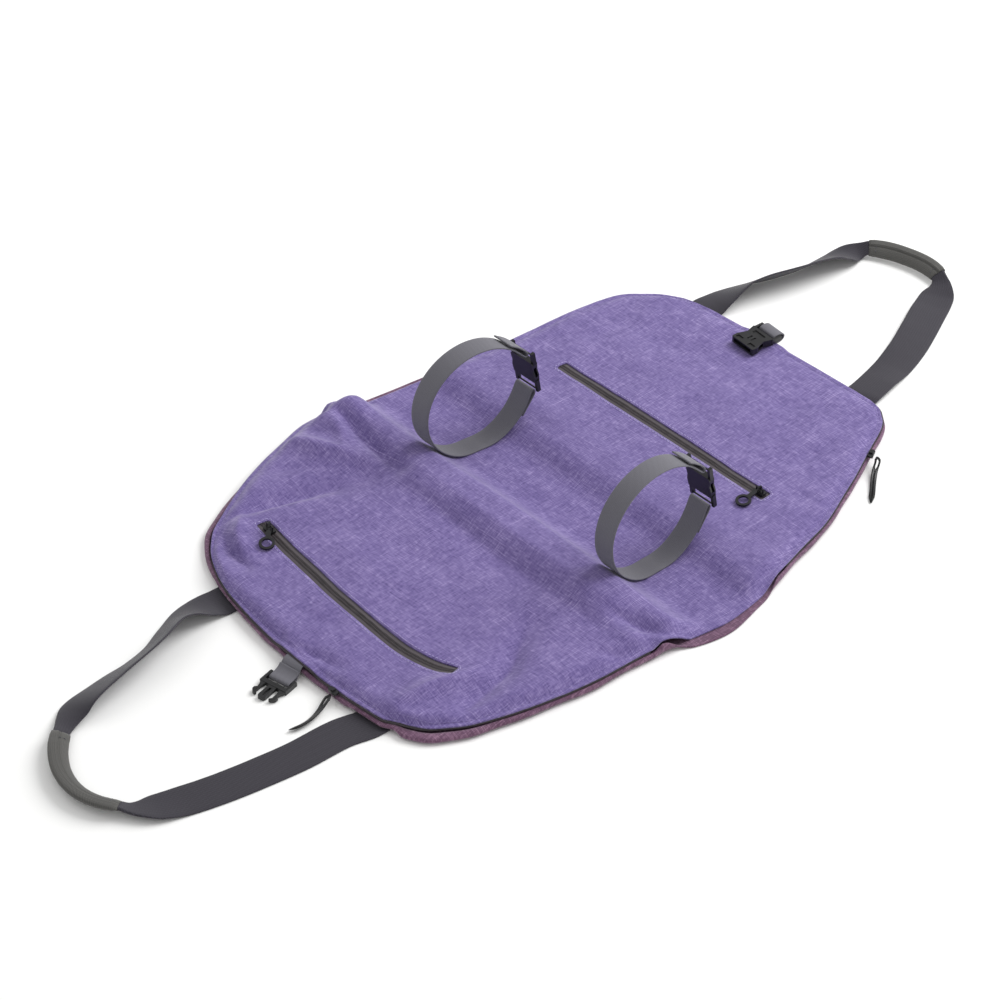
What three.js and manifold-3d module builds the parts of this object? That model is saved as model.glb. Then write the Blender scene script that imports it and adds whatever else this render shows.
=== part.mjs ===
// Yoga mat bag, unzipped and laid open flat: two soft pouch wings, one to each side of a flat base.
// Millimetres. +X along the base, +Y from the left wing to the right wing, +Z up, floor at z = 0.
import * as THREE from "three";
import { mergeVertices } from "three/addons/utils/BufferGeometryUtils.js";
import Module from "manifold-3d";

const wasm = await Module();
wasm.setup();
const { Manifold, Mesh: SolidMesh } = wasm;

// Named sizes of the cloth and of the gaps between pieces.
const cloth = 1.5;
const gap = 0.3;
const tape = 1.0;
const webbing = 1.9;
const strapThick = 1.6;
const mergeWithin = 1e-4;
const sharpCorner = THREE.MathUtils.degToRad(140);
const floorLevel = cloth / 2;
const baseLevel = cloth + gap + cloth / 2;
const edgeLevel = 10.8;
const edgeRoll = 24;
const dipMost = 3;
const loopRadius = 62.6;
const loopCentre = loopRadius + baseLevel + cloth / 2;

const colours = {
  shell: 0x5e3d57,
  lining: 0x7f6fb4,
  webbing: 0x4b4852,
  grip: 0x5a5855,
  strap: 0x6c6c74,
  tape: 0x37332f,
  plastic: 0x17171a,
};

// Outline of the lining, row by row along Y: where the cloth ends to the left and to the right.
const outline = [
  { y: -342, left: -112, right: 125 },
  { y: -336, left: -134, right: 134 },
  { y: -329, left: -152, right: 148 },
  { y: -319, left: -170, right: 164 },
  { y: -307, left: -184, right: 174 },
  { y: -292, left: -197, right: 185 },
  { y: -275, left: -206, right: 193 },
  { y: -250, left: -219, right: 202 },
  { y: -217, left: -235, right: 211 },
  { y: -185, left: -247, right: 218 },
  { y: -150, left: -257, right: 223 },
  { y: -110, left: -266, right: 226 },
  { y: -70, left: -264, right: 231 },
  { y: -30, left: -257, right: 239 },
  { y: 0, left: -252, right: 243 },
  { y: 40, left: -246, right: 240 },
  { y: 80, left: -238, right: 231 },
  { y: 127, left: -229, right: 220 },
  { y: 167, left: -225, right: 211 },
  { y: 216, left: -221, right: 192 },
  { y: 250, left: -216, right: 178 },
  { y: 281, left: -209, right: 163 },
  { y: 297, left: -202, right: 155 },
  { y: 312, left: -190, right: 148 },
  { y: 325, left: -178, right: 140 },
  { y: 334, left: -165, right: 130 },
  { y: 341, left: -149, right: 120 },
  { y: 345, left: -122, right: 104 },
];

// How each wing's outer edge leans and bows, growing from where the corners begin.
const wingEnds = {
  left: { from: 250, to: 342, skew: -0.035, bow: -10 },
  right: { from: 250, to: 345, skew: 0.04, bow: 2 },
};

// Height of the lining across the bag: a flat base, a ridge along each of its sides, then the wing.
const acrossHeights = [
  { y: -352, height: 17 },
  { y: -300, height: 18 },
  { y: -200, height: 19 },
  { y: -130, height: 19 },
  { y: -117, height: 20 },
  { y: -107, height: 23.5 },
  { y: -97, height: 28 },
  { y: -84, height: 30.5 },
  { y: -70, height: 31 },
  { y: -59, height: 29 },
  { y: -50, height: 21.5 },
  { y: -40, height: 12 },
  { y: -29, height: 5 },
  { y: -19, height: baseLevel },
  { y: 19, height: baseLevel },
  { y: 32, height: 4.6 },
  { y: 46, height: 11 },
  { y: 60, height: 15.5 },
  { y: 78, height: 16.5 },
  { y: 100, height: 14.8 },
  { y: 140, height: 13.6 },
  { y: 250, height: 13.2 },
  { y: 352, height: 12.8 },
];

// How much the left ridge stands up or sinks along the base, about its own crest.
const ridge = { y: -72, spread: 26 };
const ridgeLifts = [
  { x: -270, lift: 9 },
  { x: -240, lift: 6 },
  { x: -205, lift: 0 },
  { x: -110, lift: -2 },
  { x: 0, lift: 0 },
  { x: 120, lift: 0 },
  { x: 200, lift: -5 },
  { x: 245, lift: -11 },
];

// Folds of the lining: from, past and to give the line, and width is how far it spreads.
// Height is above the cloth for a crest and below it for a valley.
const folds = [
  { name: "long crease", from: [-188, -298], past: [-187, -222], to: [-148, -132], height: -5, width: 15 },
  { name: "corner crest", from: [-252, -148], past: [-212, -134], to: [-170, -114], height: 7, width: 15 },
  { name: "corner valley", from: [-252, -84], past: [-195, -90], to: [-135, -96], height: -8, width: 11 },
  { name: "corner dimple", from: [-184, -286], past: [-158, -300], to: [-128, -305], height: -6, width: 11 },
  { name: "dimple crest", from: [-196, -250], past: [-170, -286], to: [-134, -297], height: 4, width: 12 },
  { name: "near valley", from: [128, -160], past: [160, -222], to: [171, -290], height: -5, width: 13 },
  { name: "near crest", from: [122, -325], past: [130, -288], to: [146, -246], height: 4, width: 13 },
  { name: "side valley", from: [178, -92], past: [208, -84], to: [230, -70], height: -7, width: 12 },
  { name: "edge valley", from: [-4, -352], past: [12, -340], to: [44, -333], height: -4, width: 9 },
  { name: "buckle dip", from: [-72, 316], past: [-40, 322], to: [-8, 330], height: -1.6, width: 14 },
  { name: "right swell", from: [-60, 215], past: [10, 235], to: [80, 215], height: 1.6, width: 34 },
];

// Rows and columns of the lining's net: closer where the cloth folds and at its edges.
const liningRows = [
  -342, -336, -329, -319, -307, -292, -273, -250, -226, -202, -178, -158, -141, -127, -115, -103, -92, -78,
  -64, -55, -46, -36, -24, -14, 14, 24, 38, 52, 68, 92, 130, 175, 230, 281, 297, 312, 325, 334, 341, 345,
];
const liningColumns = [
  -1, -0.96, -0.87, -0.77, -0.66, -0.52, -0.35, -0.17, 0.01, 0.19, 0.36, 0.52, 0.66, 0.78, 0.88, 0.96, 1,
];
const shellRows = [
  -342, -336, -329, -319, -307, -290, -262, -225, -180, -130, -98, -84, -70, -52, -30, 0, 30, 52, 70, 90,
  130, 180, 225, 260, 287, 304, 318, 329, 337, 342, 345,
];
const shellColumns = [-1, -0.88, -0.72, -0.5, -0.25, 0, 0.25, 0.48, 0.64, 0.78, 0.9, 1];

// The shell's edge in section, out from the lining's edge: curled up round a wing, flat beside the base.
const shellEdge = [
  { curledOut: -8, curledUp: floorLevel, lipOut: -8, lipUp: floorLevel, bulge: 0, lift: 1 },
  { curledOut: -1.5, curledUp: 1.3, lipOut: -1.5, lipUp: 0.8, bulge: 0.6, lift: 1 },
  { curledOut: 2.2, curledUp: 3.4, lipOut: 1.2, lipUp: 0.95, bulge: 1, lift: 0.6 },
  { curledOut: 2.4, curledUp: 5.6, lipOut: 3, lipUp: 1.15, bulge: 0.9, lift: 0.2 },
  { curledOut: 0.4, curledUp: 7.4, lipOut: 4.6, lipUp: 1.5, bulge: 0.3, lift: 0 },
];
const shellBulge = { x: -206, y: -292, out: 6, spread: 52 };
const floorInset = 34;

// Where the webbing handles and the closure tabs pass the rim, which gives way for them.
const handleRoots = [
  { x: 112, side: -1 },
  { x: -117, side: -1 },
  { x: 86, side: 1 },
  { x: -133, side: 1 },
];
const rootLift = 3.1;
const tabs = { left: { x: 6 }, right: { x: -42 } };
const tabLift = 2.4;

// Small tools.

const smooth = (t) => {
  const c = Math.min(1, Math.max(0, t));
  return c * c * (3 - 2 * c);
};

const mix = (a, b, t) => a + (b - a) * t;

const hump = (distance, spread) => Math.exp(-((distance / spread) ** 2));

// A smooth curve through a table's rows: at is the column it runs along, and value the column it returns.
function through(rows, at, value) {
  const slopes = rows.map((row, i) => {
    const before = rows[Math.max(0, i - 1)];
    const after = rows[Math.min(rows.length - 1, i + 1)];
    const rise1 = (row[value] - before[value]) / (row[at] - before[at] || 1);
    const rise2 = (after[value] - row[value]) / (after[at] - row[at] || 1);
    if (before === row) return rise2;
    if (after === row) return rise1;
    return rise1 * rise2 <= 0 ? 0 : (2 * rise1 * rise2) / (rise1 + rise2);
  });
  return (position) => {
    const last = rows.length - 1;
    if (position <= rows[0][at]) return rows[0][value];
    if (position >= rows[last][at]) return rows[last][value];
    const i = rows.findIndex((row) => row[at] > position) - 1;
    const step = rows[i + 1][at] - rows[i][at];
    const t = (position - rows[i][at]) / step;
    const a = rows[i][value];
    const b = rows[i + 1][value];
    return (
      a * (1 + 2 * t) * (1 - t) ** 2 +
      slopes[i] * step * t * (1 - t) ** 2 +
      b * t * t * (3 - 2 * t) +
      slopes[i + 1] * step * t * t * (t - 1)
    );
  };
}

const leftEdge = through(outline, "y", "left");
const rightEdge = through(outline, "y", "right");
const across = through(acrossHeights, "y", "height");
const ridgeLift = through(ridgeLifts, "x", "lift");

// A point of the net in plan: share runs from -1 at the left edge to 1 at the right edge.
function planPoint(share, y) {
  const left = leftEdge(y);
  const right = rightEdge(y);
  const x = mix(left, right, (share + 1) / 2);
  const end = y < 0 ? wingEnds.left : wingEnds.right;
  const grow = smooth((Math.abs(y) - end.from) / (end.to - end.from));
  return [x, y + grow * (end.skew * x + end.bow * (1 - share * share))];
}

// The row of the net that a plan point lies on, found by a few steps back through the lean and the bow.
function rowOf(x, y) {
  let row = y;
  for (let step = 0; step < 6; step += 1) {
    const left = leftEdge(row);
    const right = rightEdge(row);
    const share = Math.min(1, Math.max(-1, (2 * (x - left)) / (right - left) - 1));
    row += y - planPoint(share, row)[1];
  }
  return row;
}

// Distance from a plan point to a fold's bent line, and how far along it that is.
function alongFold(fold, x, y) {
  const legs = [
    [fold.from, fold.past],
    [fold.past, fold.to],
  ];
  let best = { distance: Infinity, share: 0 };
  legs.forEach(([a, b], leg) => {
    const dx = b[0] - a[0];
    const dy = b[1] - a[1];
    const t = Math.min(1, Math.max(0, ((x - a[0]) * dx + (y - a[1]) * dy) / (dx * dx + dy * dy)));
    const distance = Math.hypot(x - a[0] - t * dx, y - a[1] - t * dy);
    if (distance < best.distance) best = { distance, share: (leg + t) / 2 };
  });
  return best;
}

function foldHeight(x, y) {
  return folds.reduce((sum, fold) => {
    const { distance, share } = alongFold(fold, x, y);
    const taper = 0.45 + 0.55 * Math.sin(Math.PI * share);
    return sum + fold.height * taper * hump(distance, fold.width);
  }, 0);
}

// The pouch zips stop short of the base, and the ridge lifts the bag's edge only between their ends.
const edgeZipEnds = { from: 92, crestTo: -92 };

const wingShare = (y) => smooth((Math.abs(y) - 48) / 32);

// Height of the middle of the lining's cloth at its edge, and how far a closure tab lifts it.
function edgeHeight(x, y) {
  const lifted = y < 0 ? 0.5 * (across(y) - 19) : 0;
  const near = y < -40 ? smooth((y - edgeZipEnds.crestTo) / 12) : 0;
  const crest = near * (Math.max(0, lifted) + 0.6 * Math.max(0, ridgeLift(x)) * hump(y - ridge.y, 30));
  return mix(baseLevel, edgeLevel, wingShare(y)) + crest;
}

function tabBump(x, y) {
  const tab = y < 0 ? tabs.left : tabs.right;
  return Math.abs(y) > 300 ? tabLift * (1 - smooth((Math.abs(x - tab.x) - 21) / 13)) : 0;
}

// Height of the middle of the lining's cloth anywhere on the bag.
function liningHeight(x, y) {
  const row = rowOf(x, y);
  const side = Math.min(x - leftEdge(row), rightEdge(row) - x);
  const end = (row < 0 ? wingEnds.left.to : wingEnds.right.to) - Math.abs(row);
  const fromSide = Math.sin((Math.PI / 2) * smooth(side / edgeRoll));
  const fromEnd = Math.sin((Math.PI / 2) * smooth(end / edgeRoll));
  const inner = across(row) + ridgeLift(x) * hump(y - ridge.y, ridge.spread) + foldHeight(x, y);
  const low = edgeHeight(x, row);
  const lift = tabBump(x, y) * (1 - smooth(end / edgeRoll));
  return Math.max(baseLevel, mix(low, Math.max(inner, low - dipMost), fromSide * fromEnd) + lift);
}

// Nets, cloth solids and solids with flat faces.

// A net of points and its triangles; loop lists its edge, once round, seen from above anticlockwise.
function net(columns, rows, place) {
  const points = [];
  rows.forEach((y) => columns.forEach((share) => points.push(place(share, y))));
  const wide = columns.length;
  const triangles = [];
  for (let r = 0; r + 1 < rows.length; r += 1) {
    for (let c = 0; c + 1 < wide; c += 1) {
      const a = r * wide + c;
      const b = a + 1;
      const d = a + wide;
      const e = d + 1;
      if ((r + c) % 2) triangles.push([a, b, e], [a, e, d]);
      else triangles.push([a, b, d], [b, e, d]);
    }
  }
  const loop = [];
  for (let c = 0; c < wide - 1; c += 1) loop.push(c);
  for (let r = 0; r < rows.length - 1; r += 1) loop.push(r * wide + wide - 1);
  for (let c = wide - 1; c > 0; c -= 1) loop.push((rows.length - 1) * wide + c);
  for (let r = rows.length - 1; r > 0; r -= 1) loop.push(r * wide);
  return { points, triangles, loop };
}

// Outward directions in plan round a closed loop of points.
function outward(points, loop) {
  return loop.map((_, i) => {
    const before = points[loop[(i + loop.length - 1) % loop.length]];
    const after = points[loop[(i + 1) % loop.length]];
    const dx = after[0] - before[0];
    const dy = after[1] - before[1];
    const size = Math.hypot(dx, dy) || 1;
    return [dy / size, -dx / size];
  });
}

function vertexNormals({ points, triangles }) {
  const sums = points.map(() => new THREE.Vector3());
  const corner = (i) => new THREE.Vector3(...points[i]);
  triangles.forEach(([a, b, c]) => {
    const pa = corner(a);
    const face = corner(b).sub(pa).cross(corner(c).sub(pa));
    [a, b, c].forEach((i) => sums[i].add(face));
  });
  return sums.map((sum) => sum.normalize());
}

// The solid between two offsets of a net, measured along its own normals.
function layer(sheet, low, high) {
  const normals = vertexNormals(sheet);
  const count = sheet.points.length;
  const flat = [];
  [high, low].forEach((offset) =>
    sheet.points.forEach((p, i) => {
      const n = normals[i];
      flat.push(p[0] + n.x * offset, p[1] + n.y * offset, p[2] + n.z * offset);
    }),
  );
  const faces = [];
  sheet.triangles.forEach(([a, b, c]) => faces.push(a, b, c, a + count, c + count, b + count));
  sheet.loop.forEach((a, i) => {
    const b = sheet.loop[(i + 1) % sheet.loop.length];
    faces.push(a, a + count, b, b, a + count, b + count);
  });
  return solidFrom(flat, faces);
}

function solidFrom(flat, faces) {
  return new Manifold(
    new SolidMesh({ numProp: 3, vertProperties: new Float32Array(flat), triVerts: new Uint32Array(faces) }),
  );
}

function meshOf(solid, name, colour, roughness = 0.85) {
  const made = solid.getMesh();
  const geometry = new THREE.BufferGeometry();
  geometry.setAttribute("position", new THREE.BufferAttribute(new Float32Array(made.vertProperties), 3));
  geometry.setIndex(new THREE.BufferAttribute(new Uint32Array(made.triVerts), 1));
  const flat = mergeVertices(geometry).toNonIndexed();
  flat.computeVertexNormals();
  const material = new THREE.MeshStandardMaterial({ color: colour, roughness, metalness: 0 });
  const mesh = new THREE.Mesh(flat, material);
  mesh.name = name;
  return mesh;
}

function cut(whole, pieces) {
  return pieces.reduce((left, piece) => left.subtract(piece), whole);
}

function join(pieces) {
  return pieces.reduce((all, piece) => all.add(piece));
}

// The closed solid inside a geometry's faces.
function solidOf(geometry) {
  const bare = geometry.clone();
  bare.deleteAttribute("normal");
  bare.deleteAttribute("uv");
  const merged = mergeVertices(bare, mergeWithin);
  return solidFrom(merged.attributes.position.array, merged.index.array);
}

function block(x0, x1, y0, y1, z0, z1) {
  const box = new THREE.BoxGeometry(x1 - x0, y1 - y0, z1 - z0);
  return solidOf(box.translate((x0 + x1) / 2, (y0 + y1) / 2, (z0 + z1) / 2));
}

// A rod of round section between two points.
function rod(a, b, radius, sides = 8) {
  const from = new THREE.Vector3(...a);
  const to = new THREE.Vector3(...b);
  const along = to.clone().sub(from);
  const turn = new THREE.Quaternion();
  turn.setFromUnitVectors(new THREE.Vector3(0, 1, 0), along.clone().normalize());
  const shape = new THREE.CylinderGeometry(radius, radius, along.length(), sides).applyQuaternion(turn);
  return solidOf(shape.translate(...from.lerp(to, 0.5)));
}

// A disc centred on the X axis: its own axis is Z, or Y when it stands on edge.
function disc(x, radius, thick, sides, onEdge = false) {
  const shape = new THREE.CylinderGeometry(radius, radius, thick, sides);
  if (!onEdge) shape.rotateX(Math.PI / 2);
  return solidOf(shape.translate(x, 0, 0));
}

// A flat plate from one height to another, by its outline in plan. Its sharp corners are rounded by radius.
function plate(corners, low, high, radius = 0) {
  const shape = new THREE.Shape();
  corners.forEach((corner, i) => {
    const here = new THREE.Vector2(...corner);
    const back = new THREE.Vector2(...corners.at(i - 1)).sub(here);
    const on = new THREE.Vector2(...corners[(i + 1) % corners.length]).sub(here);
    const rounded = radius > 0 && back.angleTo(on) < sharpCorner;
    const start = rounded ? here.clone().add(back.setLength(radius)) : here;
    if (i === 0) shape.moveTo(start.x, start.y);
    else shape.lineTo(start.x, start.y);
    if (rounded) {
      const end = here.clone().add(on.setLength(radius));
      shape.quadraticCurveTo(here.x, here.y, end.x, end.y);
    }
  });
  const upright = { depth: high - low, bevelEnabled: false, curveSegments: 4 };
  return solidOf(new THREE.ExtrudeGeometry(shape, upright).translate(0, 0, low));
}

// Band of a given half width along a line in plan, with square or rounded ends.
function band(line, half, low, high, radius) {
  const curve = new THREE.CatmullRomCurve3(line.map(([x, y]) => new THREE.Vector3(x, y, 0)));
  const steps = 9;
  const right = [];
  const left = [];
  for (let i = 0; i <= steps; i += 1) {
    const p = curve.getPointAt(i / steps);
    const t = curve.getTangentAt(i / steps);
    right.push([p.x + t.y * half, p.y - t.x * half]);
    left.unshift([p.x - t.y * half, p.y + t.x * half]);
  }
  return plate([...right, ...left], low, high, radius);
}

// Sections skinned along a path. Each section is a ring of points; a hollow skin has an inner ring for each.
function skin(rings, innerRings) {
  const flat = [];
  const faces = [];
  const wide = rings[0].length;
  const last = rings.length - 1;
  const add = (list) => {
    const start = flat.length / 3;
    list.forEach((ring) => ring.forEach((p) => flat.push(p.x, p.y, p.z)));
    return start;
  };
  const walls = (start, flip) => {
    for (let r = 0; r < last; r += 1) {
      for (let c = 0; c < wide; c += 1) {
        const a = start + r * wide + c;
        const b = start + r * wide + ((c + 1) % wide);
        const d = a + wide;
        const e = b + wide;
        if (flip) faces.push(a, d, b, b, d, e);
        else faces.push(a, b, d, b, e, d);
      }
    }
  };
  const outer = add(rings);
  walls(outer, false);
  if (innerRings) {
    const inner = add(innerRings);
    walls(inner, true);
    [0, last].forEach((r) => {
      for (let c = 0; c < wide; c += 1) {
        const a = outer + r * wide + c;
        const b = outer + r * wide + ((c + 1) % wide);
        const d = inner + r * wide + c;
        const e = inner + r * wide + ((c + 1) % wide);
        if (r === 0) faces.push(a, d, b, b, d, e);
        else faces.push(a, b, d, b, e, d);
      }
    });
  } else {
    for (let c = 1; c + 1 < wide; c += 1) {
      faces.push(outer, outer + c + 1, outer + c);
      const end = outer + last * wide;
      faces.push(end, end + c, end + c + 1);
    }
  }
  return solidFrom(flat, faces);
}

// Ring of a flat section: square when ease is 0, otherwise with its corners eased by that much.
function flatRing(place, width, thick, ease = 0) {
  const w = width / 2;
  const t = thick / 2;
  const square = [
    [-w, -t],
    [w, -t],
    [w, t],
    [-w, t],
  ];
  const eased = [
    [-w, -t + ease],
    [-w + ease, -t],
    [w - ease, -t],
    [w, -t + ease],
    [w, t - ease],
    [w - ease, t],
    [-w + ease, t],
    [-w, t - ease],
  ];
  return (ease ? eased : square).map(([a, b]) =>
    place.centre.clone().addScaledVector(place.wideDir, a).addScaledVector(place.thickDir, b),
  );
}

// Places along a table of stations: a smooth line, with every other named column eased between its rows.
function travel(stations, columns, steps) {
  const line = stations.map((s) => new THREE.Vector3(s.x, s.y, s.z));
  const curve = new THREE.CatmullRomCurve3(line, false, "centripetal");
  const places = [];
  const spans = stations.length - 1;
  for (let i = 0; i <= spans * steps; i += 1) {
    const t = i / (spans * steps);
    const row = Math.min(spans - 1, Math.floor(i / steps));
    const share = i / steps - row;
    const place = { centre: curve.getPoint(t), along: curve.getTangent(t) };
    columns.forEach((column) => {
      place[column] = mix(stations[row][column], stations[row + 1][column], smooth(share));
    });
    places.push(place);
  }
  return places;
}

// Shell and lining.

const liningNet = net(liningColumns, liningRows, (share, y) => {
  const [x, realY] = planPoint(share, y);
  return [x, realY, liningHeight(x, realY)];
});
const liningWhole = layer(liningNet, -cloth / 2, cloth / 2);

// Points of the rim in plan, once round, seen from above anticlockwise.
function rimLoop(columns, rows) {
  const near = columns.map((share) => [share, rows[0]]);
  const right = rows.slice(1).map((y) => [1, y]);
  const far = columns.slice(0, -1).reverse().map((share) => [share, rows.at(-1)]);
  const left = rows.slice(1, -1).reverse().map((y) => [-1, y]);
  return [...near, ...right, ...far, ...left].map(([share, y]) => planPoint(share, y));
}

const shellRim = rimLoop(shellColumns, shellRows);
const shellOut = outward(shellRim, [...shellRim.keys()]);

// How far a point of the rim is lifted by the webbing that passes under it, from 0 to 1.
function rootShare(x, y) {
  return handleRoots.reduce((most, { x: at, side }) => {
    const near = side * y > 290 ? 1 - smooth((Math.abs(x - at) - 23) / 12) : 0;
    return Math.max(most, near);
  }, 0);
}

function rimPoint(i, step) {
  const [x, y] = shellRim[i];
  const share = wingShare(y);
  const bulge = shellBulge.out * hump(Math.hypot(x - shellBulge.x, y - shellBulge.y), shellBulge.spread);
  const root = rootShare(x, y);
  const out = mix(step.lipOut, step.curledOut + step.bulge * bulge, share);
  const taller = (edgeHeight(x, y) - edgeLevel) / (edgeLevel - 3.4 - floorLevel);
  const curledUp = floorLevel + (step.curledUp - floorLevel) * (1 + Math.max(0, taller));
  const up = mix(step.lipUp, curledUp, share) + rootLift * root * step.lift;
  return [x + shellOut[i][0] * out, y + shellOut[i][1] * out, up];
}

// The shell's flat floor fills a loop set in from the rim, and its edge goes on from there ring by ring.
function shellSheet() {
  const points = shellRim.map(([x, y], i) => [
    x - shellOut[i][0] * floorInset,
    y - shellOut[i][1] * floorInset,
    floorLevel,
  ]);
  const triangles = THREE.ShapeUtils.triangulateShape(points.map(([x, y]) => new THREE.Vector2(x, y)), []);
  let loop = [...points.keys()];
  shellEdge.forEach((step) => {
    const outer = loop.map((_, i) => points.length + i);
    points.push(...shellRim.map((_, i) => rimPoint(i, step)));
    loop.forEach((a, i) => {
      const next = (i + 1) % loop.length;
      triangles.push([a, outer[i], loop[next]], [loop[next], outer[i], outer[next]]);
    });
    loop = outer;
  });
  return { points, triangles, loop };
}

const shell = layer(shellSheet(), -cloth / 2, cloth / 2);

// Zips.

const pocketLines = {
  left: [
    [-166, -251],
    [-126, -257],
    [-80, -262],
    [-35, -268],
    [6, -271],
    [44, -273],
    [80, -272],
    [110, -267],
    [131, -260],
  ],
  right: [
    [-155, 151],
    [-80, 151.5],
    [0, 152],
    [80, 152],
    [144, 152],
  ],
};
const pocketHalf = 7.2;
const pocketCorner = 2.5;
const tapeHidden = 3.5;
const tapeCorner = 2;
const coilHalf = 2.6;
const coilTop = 0.6;
const tallest = 60;

function pocketZip(line) {
  const under = -(cloth / 2 + gap);
  const tapeBand = band(line, pocketHalf + tapeHidden, 0, tallest, tapeCorner);
  const wide = layer(liningNet, under - tape, under).intersect(tapeBand);
  const coil = layer(liningNet, under - tape / 2, coilTop).intersect(band(line, coilHalf, 0, tallest, 0));
  return wide.add(coil);
}

const pocketZipLeft = pocketZip(pocketLines.left);
const pocketZipRight = pocketZip(pocketLines.right);
const lining = cut(liningWhole, [
  band(pocketLines.left, pocketHalf, 0, tallest, pocketCorner),
  band(pocketLines.right, pocketHalf, 0, tallest, pocketCorner),
]);

// The pouch zip round one wing: a narrow strip under the lining's edge.
// Its two ends are the only neighbours in the loop that lie further apart than ends.
const edgeTape = { out: 2, in: -8, ends: 100 };

function edgeZip(side) {
  const loop = liningNet.loop;
  const out = outward(liningNet.points, loop);
  const chosen = loop
    .map((index, i) => ({ point: liningNet.points[index], out: out[i] }))
    .filter(({ point }) => side * point[1] > edgeZipEnds.from);
  const start = chosen.findIndex(({ point: [x, y] }, i) => {
    const [beforeX, beforeY] = chosen.at(i - 1).point;
    return Math.hypot(x - beforeX, y - beforeY) > edgeTape.ends;
  });
  const run = [...chosen.slice(start), ...chosen.slice(0, start)].reverse();
  const rings = run.map(({ point, out: away }) => {
    const level = edgeHeight(point[0], rowOf(point[0], point[1])) - cloth / 2 - gap - tape / 2;
    const centre = (edgeTape.out + edgeTape.in) / 2;
    const place = {
      centre: new THREE.Vector3(point[0] + away[0] * centre, point[1] + away[1] * centre, level),
      wideDir: new THREE.Vector3(away[0], away[1], 0),
      thickDir: new THREE.Vector3(0, 0, 1),
    };
    return flatRing(place, edgeTape.out - edgeTape.in, tape);
  });
  return skin(rings);
}

const edgeZipLeft = edgeZip(-1);
const edgeZipRight = edgeZip(1);

// Zip sliders and their pulls.

const slack = 0.45;
const sliderSize = { long: 13, wide: 9.4, under: coilTop + slack, top: 3.2 };
const flangeSize = { from: 3.2, under: -0.5, setIn: 0.9, shorter: 1.5, joined: 0.2 };
const bar = { radius: 0.9, rooted: 0.5 };
const pull = {
  thick: 1.8,
  eyeThick: 1.6,
  ringAt: 24,
  ringOut: 8.2,
  ringIn: 5.4,
  ringThick: 2.2,
  neckWide: 5,
  neckWithin: 0.7,
  neckPastRing: 1,
  widensFrom: 2.6,
  widensTo: 4.6,
};
const sliders = {
  left: { x: -151, y: -253.5, along: -7, pullTo: -47, eyeIn: 2.8, eyeOut: 4.2, barHalf: 5, droop: 9 },
  right: { x: 135, y: 152, along: 0, pullTo: -90, eyeIn: 1.5, eyeOut: 2.9, barHalf: 4.4, droop: 6 },
};

const barHeight = (s) => sliderSize.top + s.eyeOut + slack;
const seatOf = (s) => [s.x, s.y, liningHeight(s.x, s.y)];

function sliderSolid(s) {
  const { long, wide, under, top } = sliderSize;
  const half = long / 2;
  const side = wide / 2;
  const waist = [
    [-half, -side + 0.8],
    [-half + 2, -side],
    [half * 0.2, -side + 0.6],
    [half, -side + 1.4],
    [half, side - 1.4],
    [half * 0.2, side - 0.6],
    [-half + 2, side],
    [-half, side - 0.8],
  ];
  const head = plate(waist, under, top);
  const end = half - flangeSize.shorter;
  const flanges = [-1, 1].map((k) => {
    const near = k * flangeSize.from;
    const far = k * (side - flangeSize.setIn);
    const high = under + flangeSize.joined;
    return block(-end, end, Math.min(near, far), Math.max(near, far), flangeSize.under, high);
  });
  const high = barHeight(s);
  const low = top - bar.rooted;
  const legs = [-1, 1].map((k) => rod([k * s.barHalf, 0, low], [k * s.barHalf, 0, high], bar.radius));
  const reach = s.barHalf + bar.radius;
  const crossing = rod([-reach, 0, high], [reach, 0, high], bar.radius);
  return join([head, ...flanges, ...legs, crossing]);
}

// The pull in its own place: eye about the Y axis at the origin, tongue running along +X.
function pullSolid(s) {
  const ring = disc(pull.ringAt, pull.ringOut, pull.ringThick, 20);
  const finger = disc(pull.ringAt, pull.ringIn, pull.ringThick * 2, 16);
  const narrow = pull.eyeThick / 2;
  const wide = pull.neckWide / 2;
  const neckFrom = s.eyeIn + pull.neckWithin;
  const neckTo = pull.ringAt - pull.ringIn - pull.neckPastRing;
  const slim = s.eyeOut + pull.widensFrom;
  const full = s.eyeOut + pull.widensTo;
  const tongue = plate(
    [
      [neckFrom, -narrow],
      [slim, -narrow],
      [full, -wide],
      [neckTo, -wide],
      [neckTo, wide],
      [full, wide],
      [slim, narrow],
      [neckFrom, narrow],
    ],
    -pull.thick / 2,
    pull.thick / 2,
  );
  const eye = disc(0, s.eyeOut, pull.eyeThick, 16, true);
  const barHole = disc(0, s.eyeIn, pull.eyeThick * 2, 16, true);
  return cut(join([ring, tongue, eye]), [finger, barHole]);
}

// Sliders of the two pouch zips, gripping the strip's outer edge.
const edgeSliders = {
  left: { share: 0.485, y: -342, away: -92 },
  right: { share: 1, y: 281, away: 26 },
};

function edgeSeat(s) {
  const [x, y] = planPoint(s.share, s.y);
  return [x, y, edgeHeight(x, s.y) - cloth / 2 - gap];
}

const edgeSliderSize = { top: 2.5, shell: [0.5, 6.4, 4.4, -1.1, 0.6], stud: [1.2, 5.6, 1.4, 2.2, 4] };

function edgeSliderSolid() {
  const [past, outside, half, low, high] = edgeSliderSize.shell;
  const [studFrom, studTo, studHalf, studLow, studHigh] = edgeSliderSize.stud;
  const upper = plate(
    [
      [0.9, -5.2],
      [4.6, -6.4],
      [6.8, -4.2],
      [6.8, 4.2],
      [4.6, 6.4],
      [0.9, 5.2],
    ],
    gap,
    edgeSliderSize.top,
  );
  const outer = block(edgeTape.out + past, outside, -half, half, low, high);
  const stud = block(studFrom, studTo, -studHalf, studHalf, studLow, studHigh);
  return join([upper, outer, stud]);
}

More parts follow.
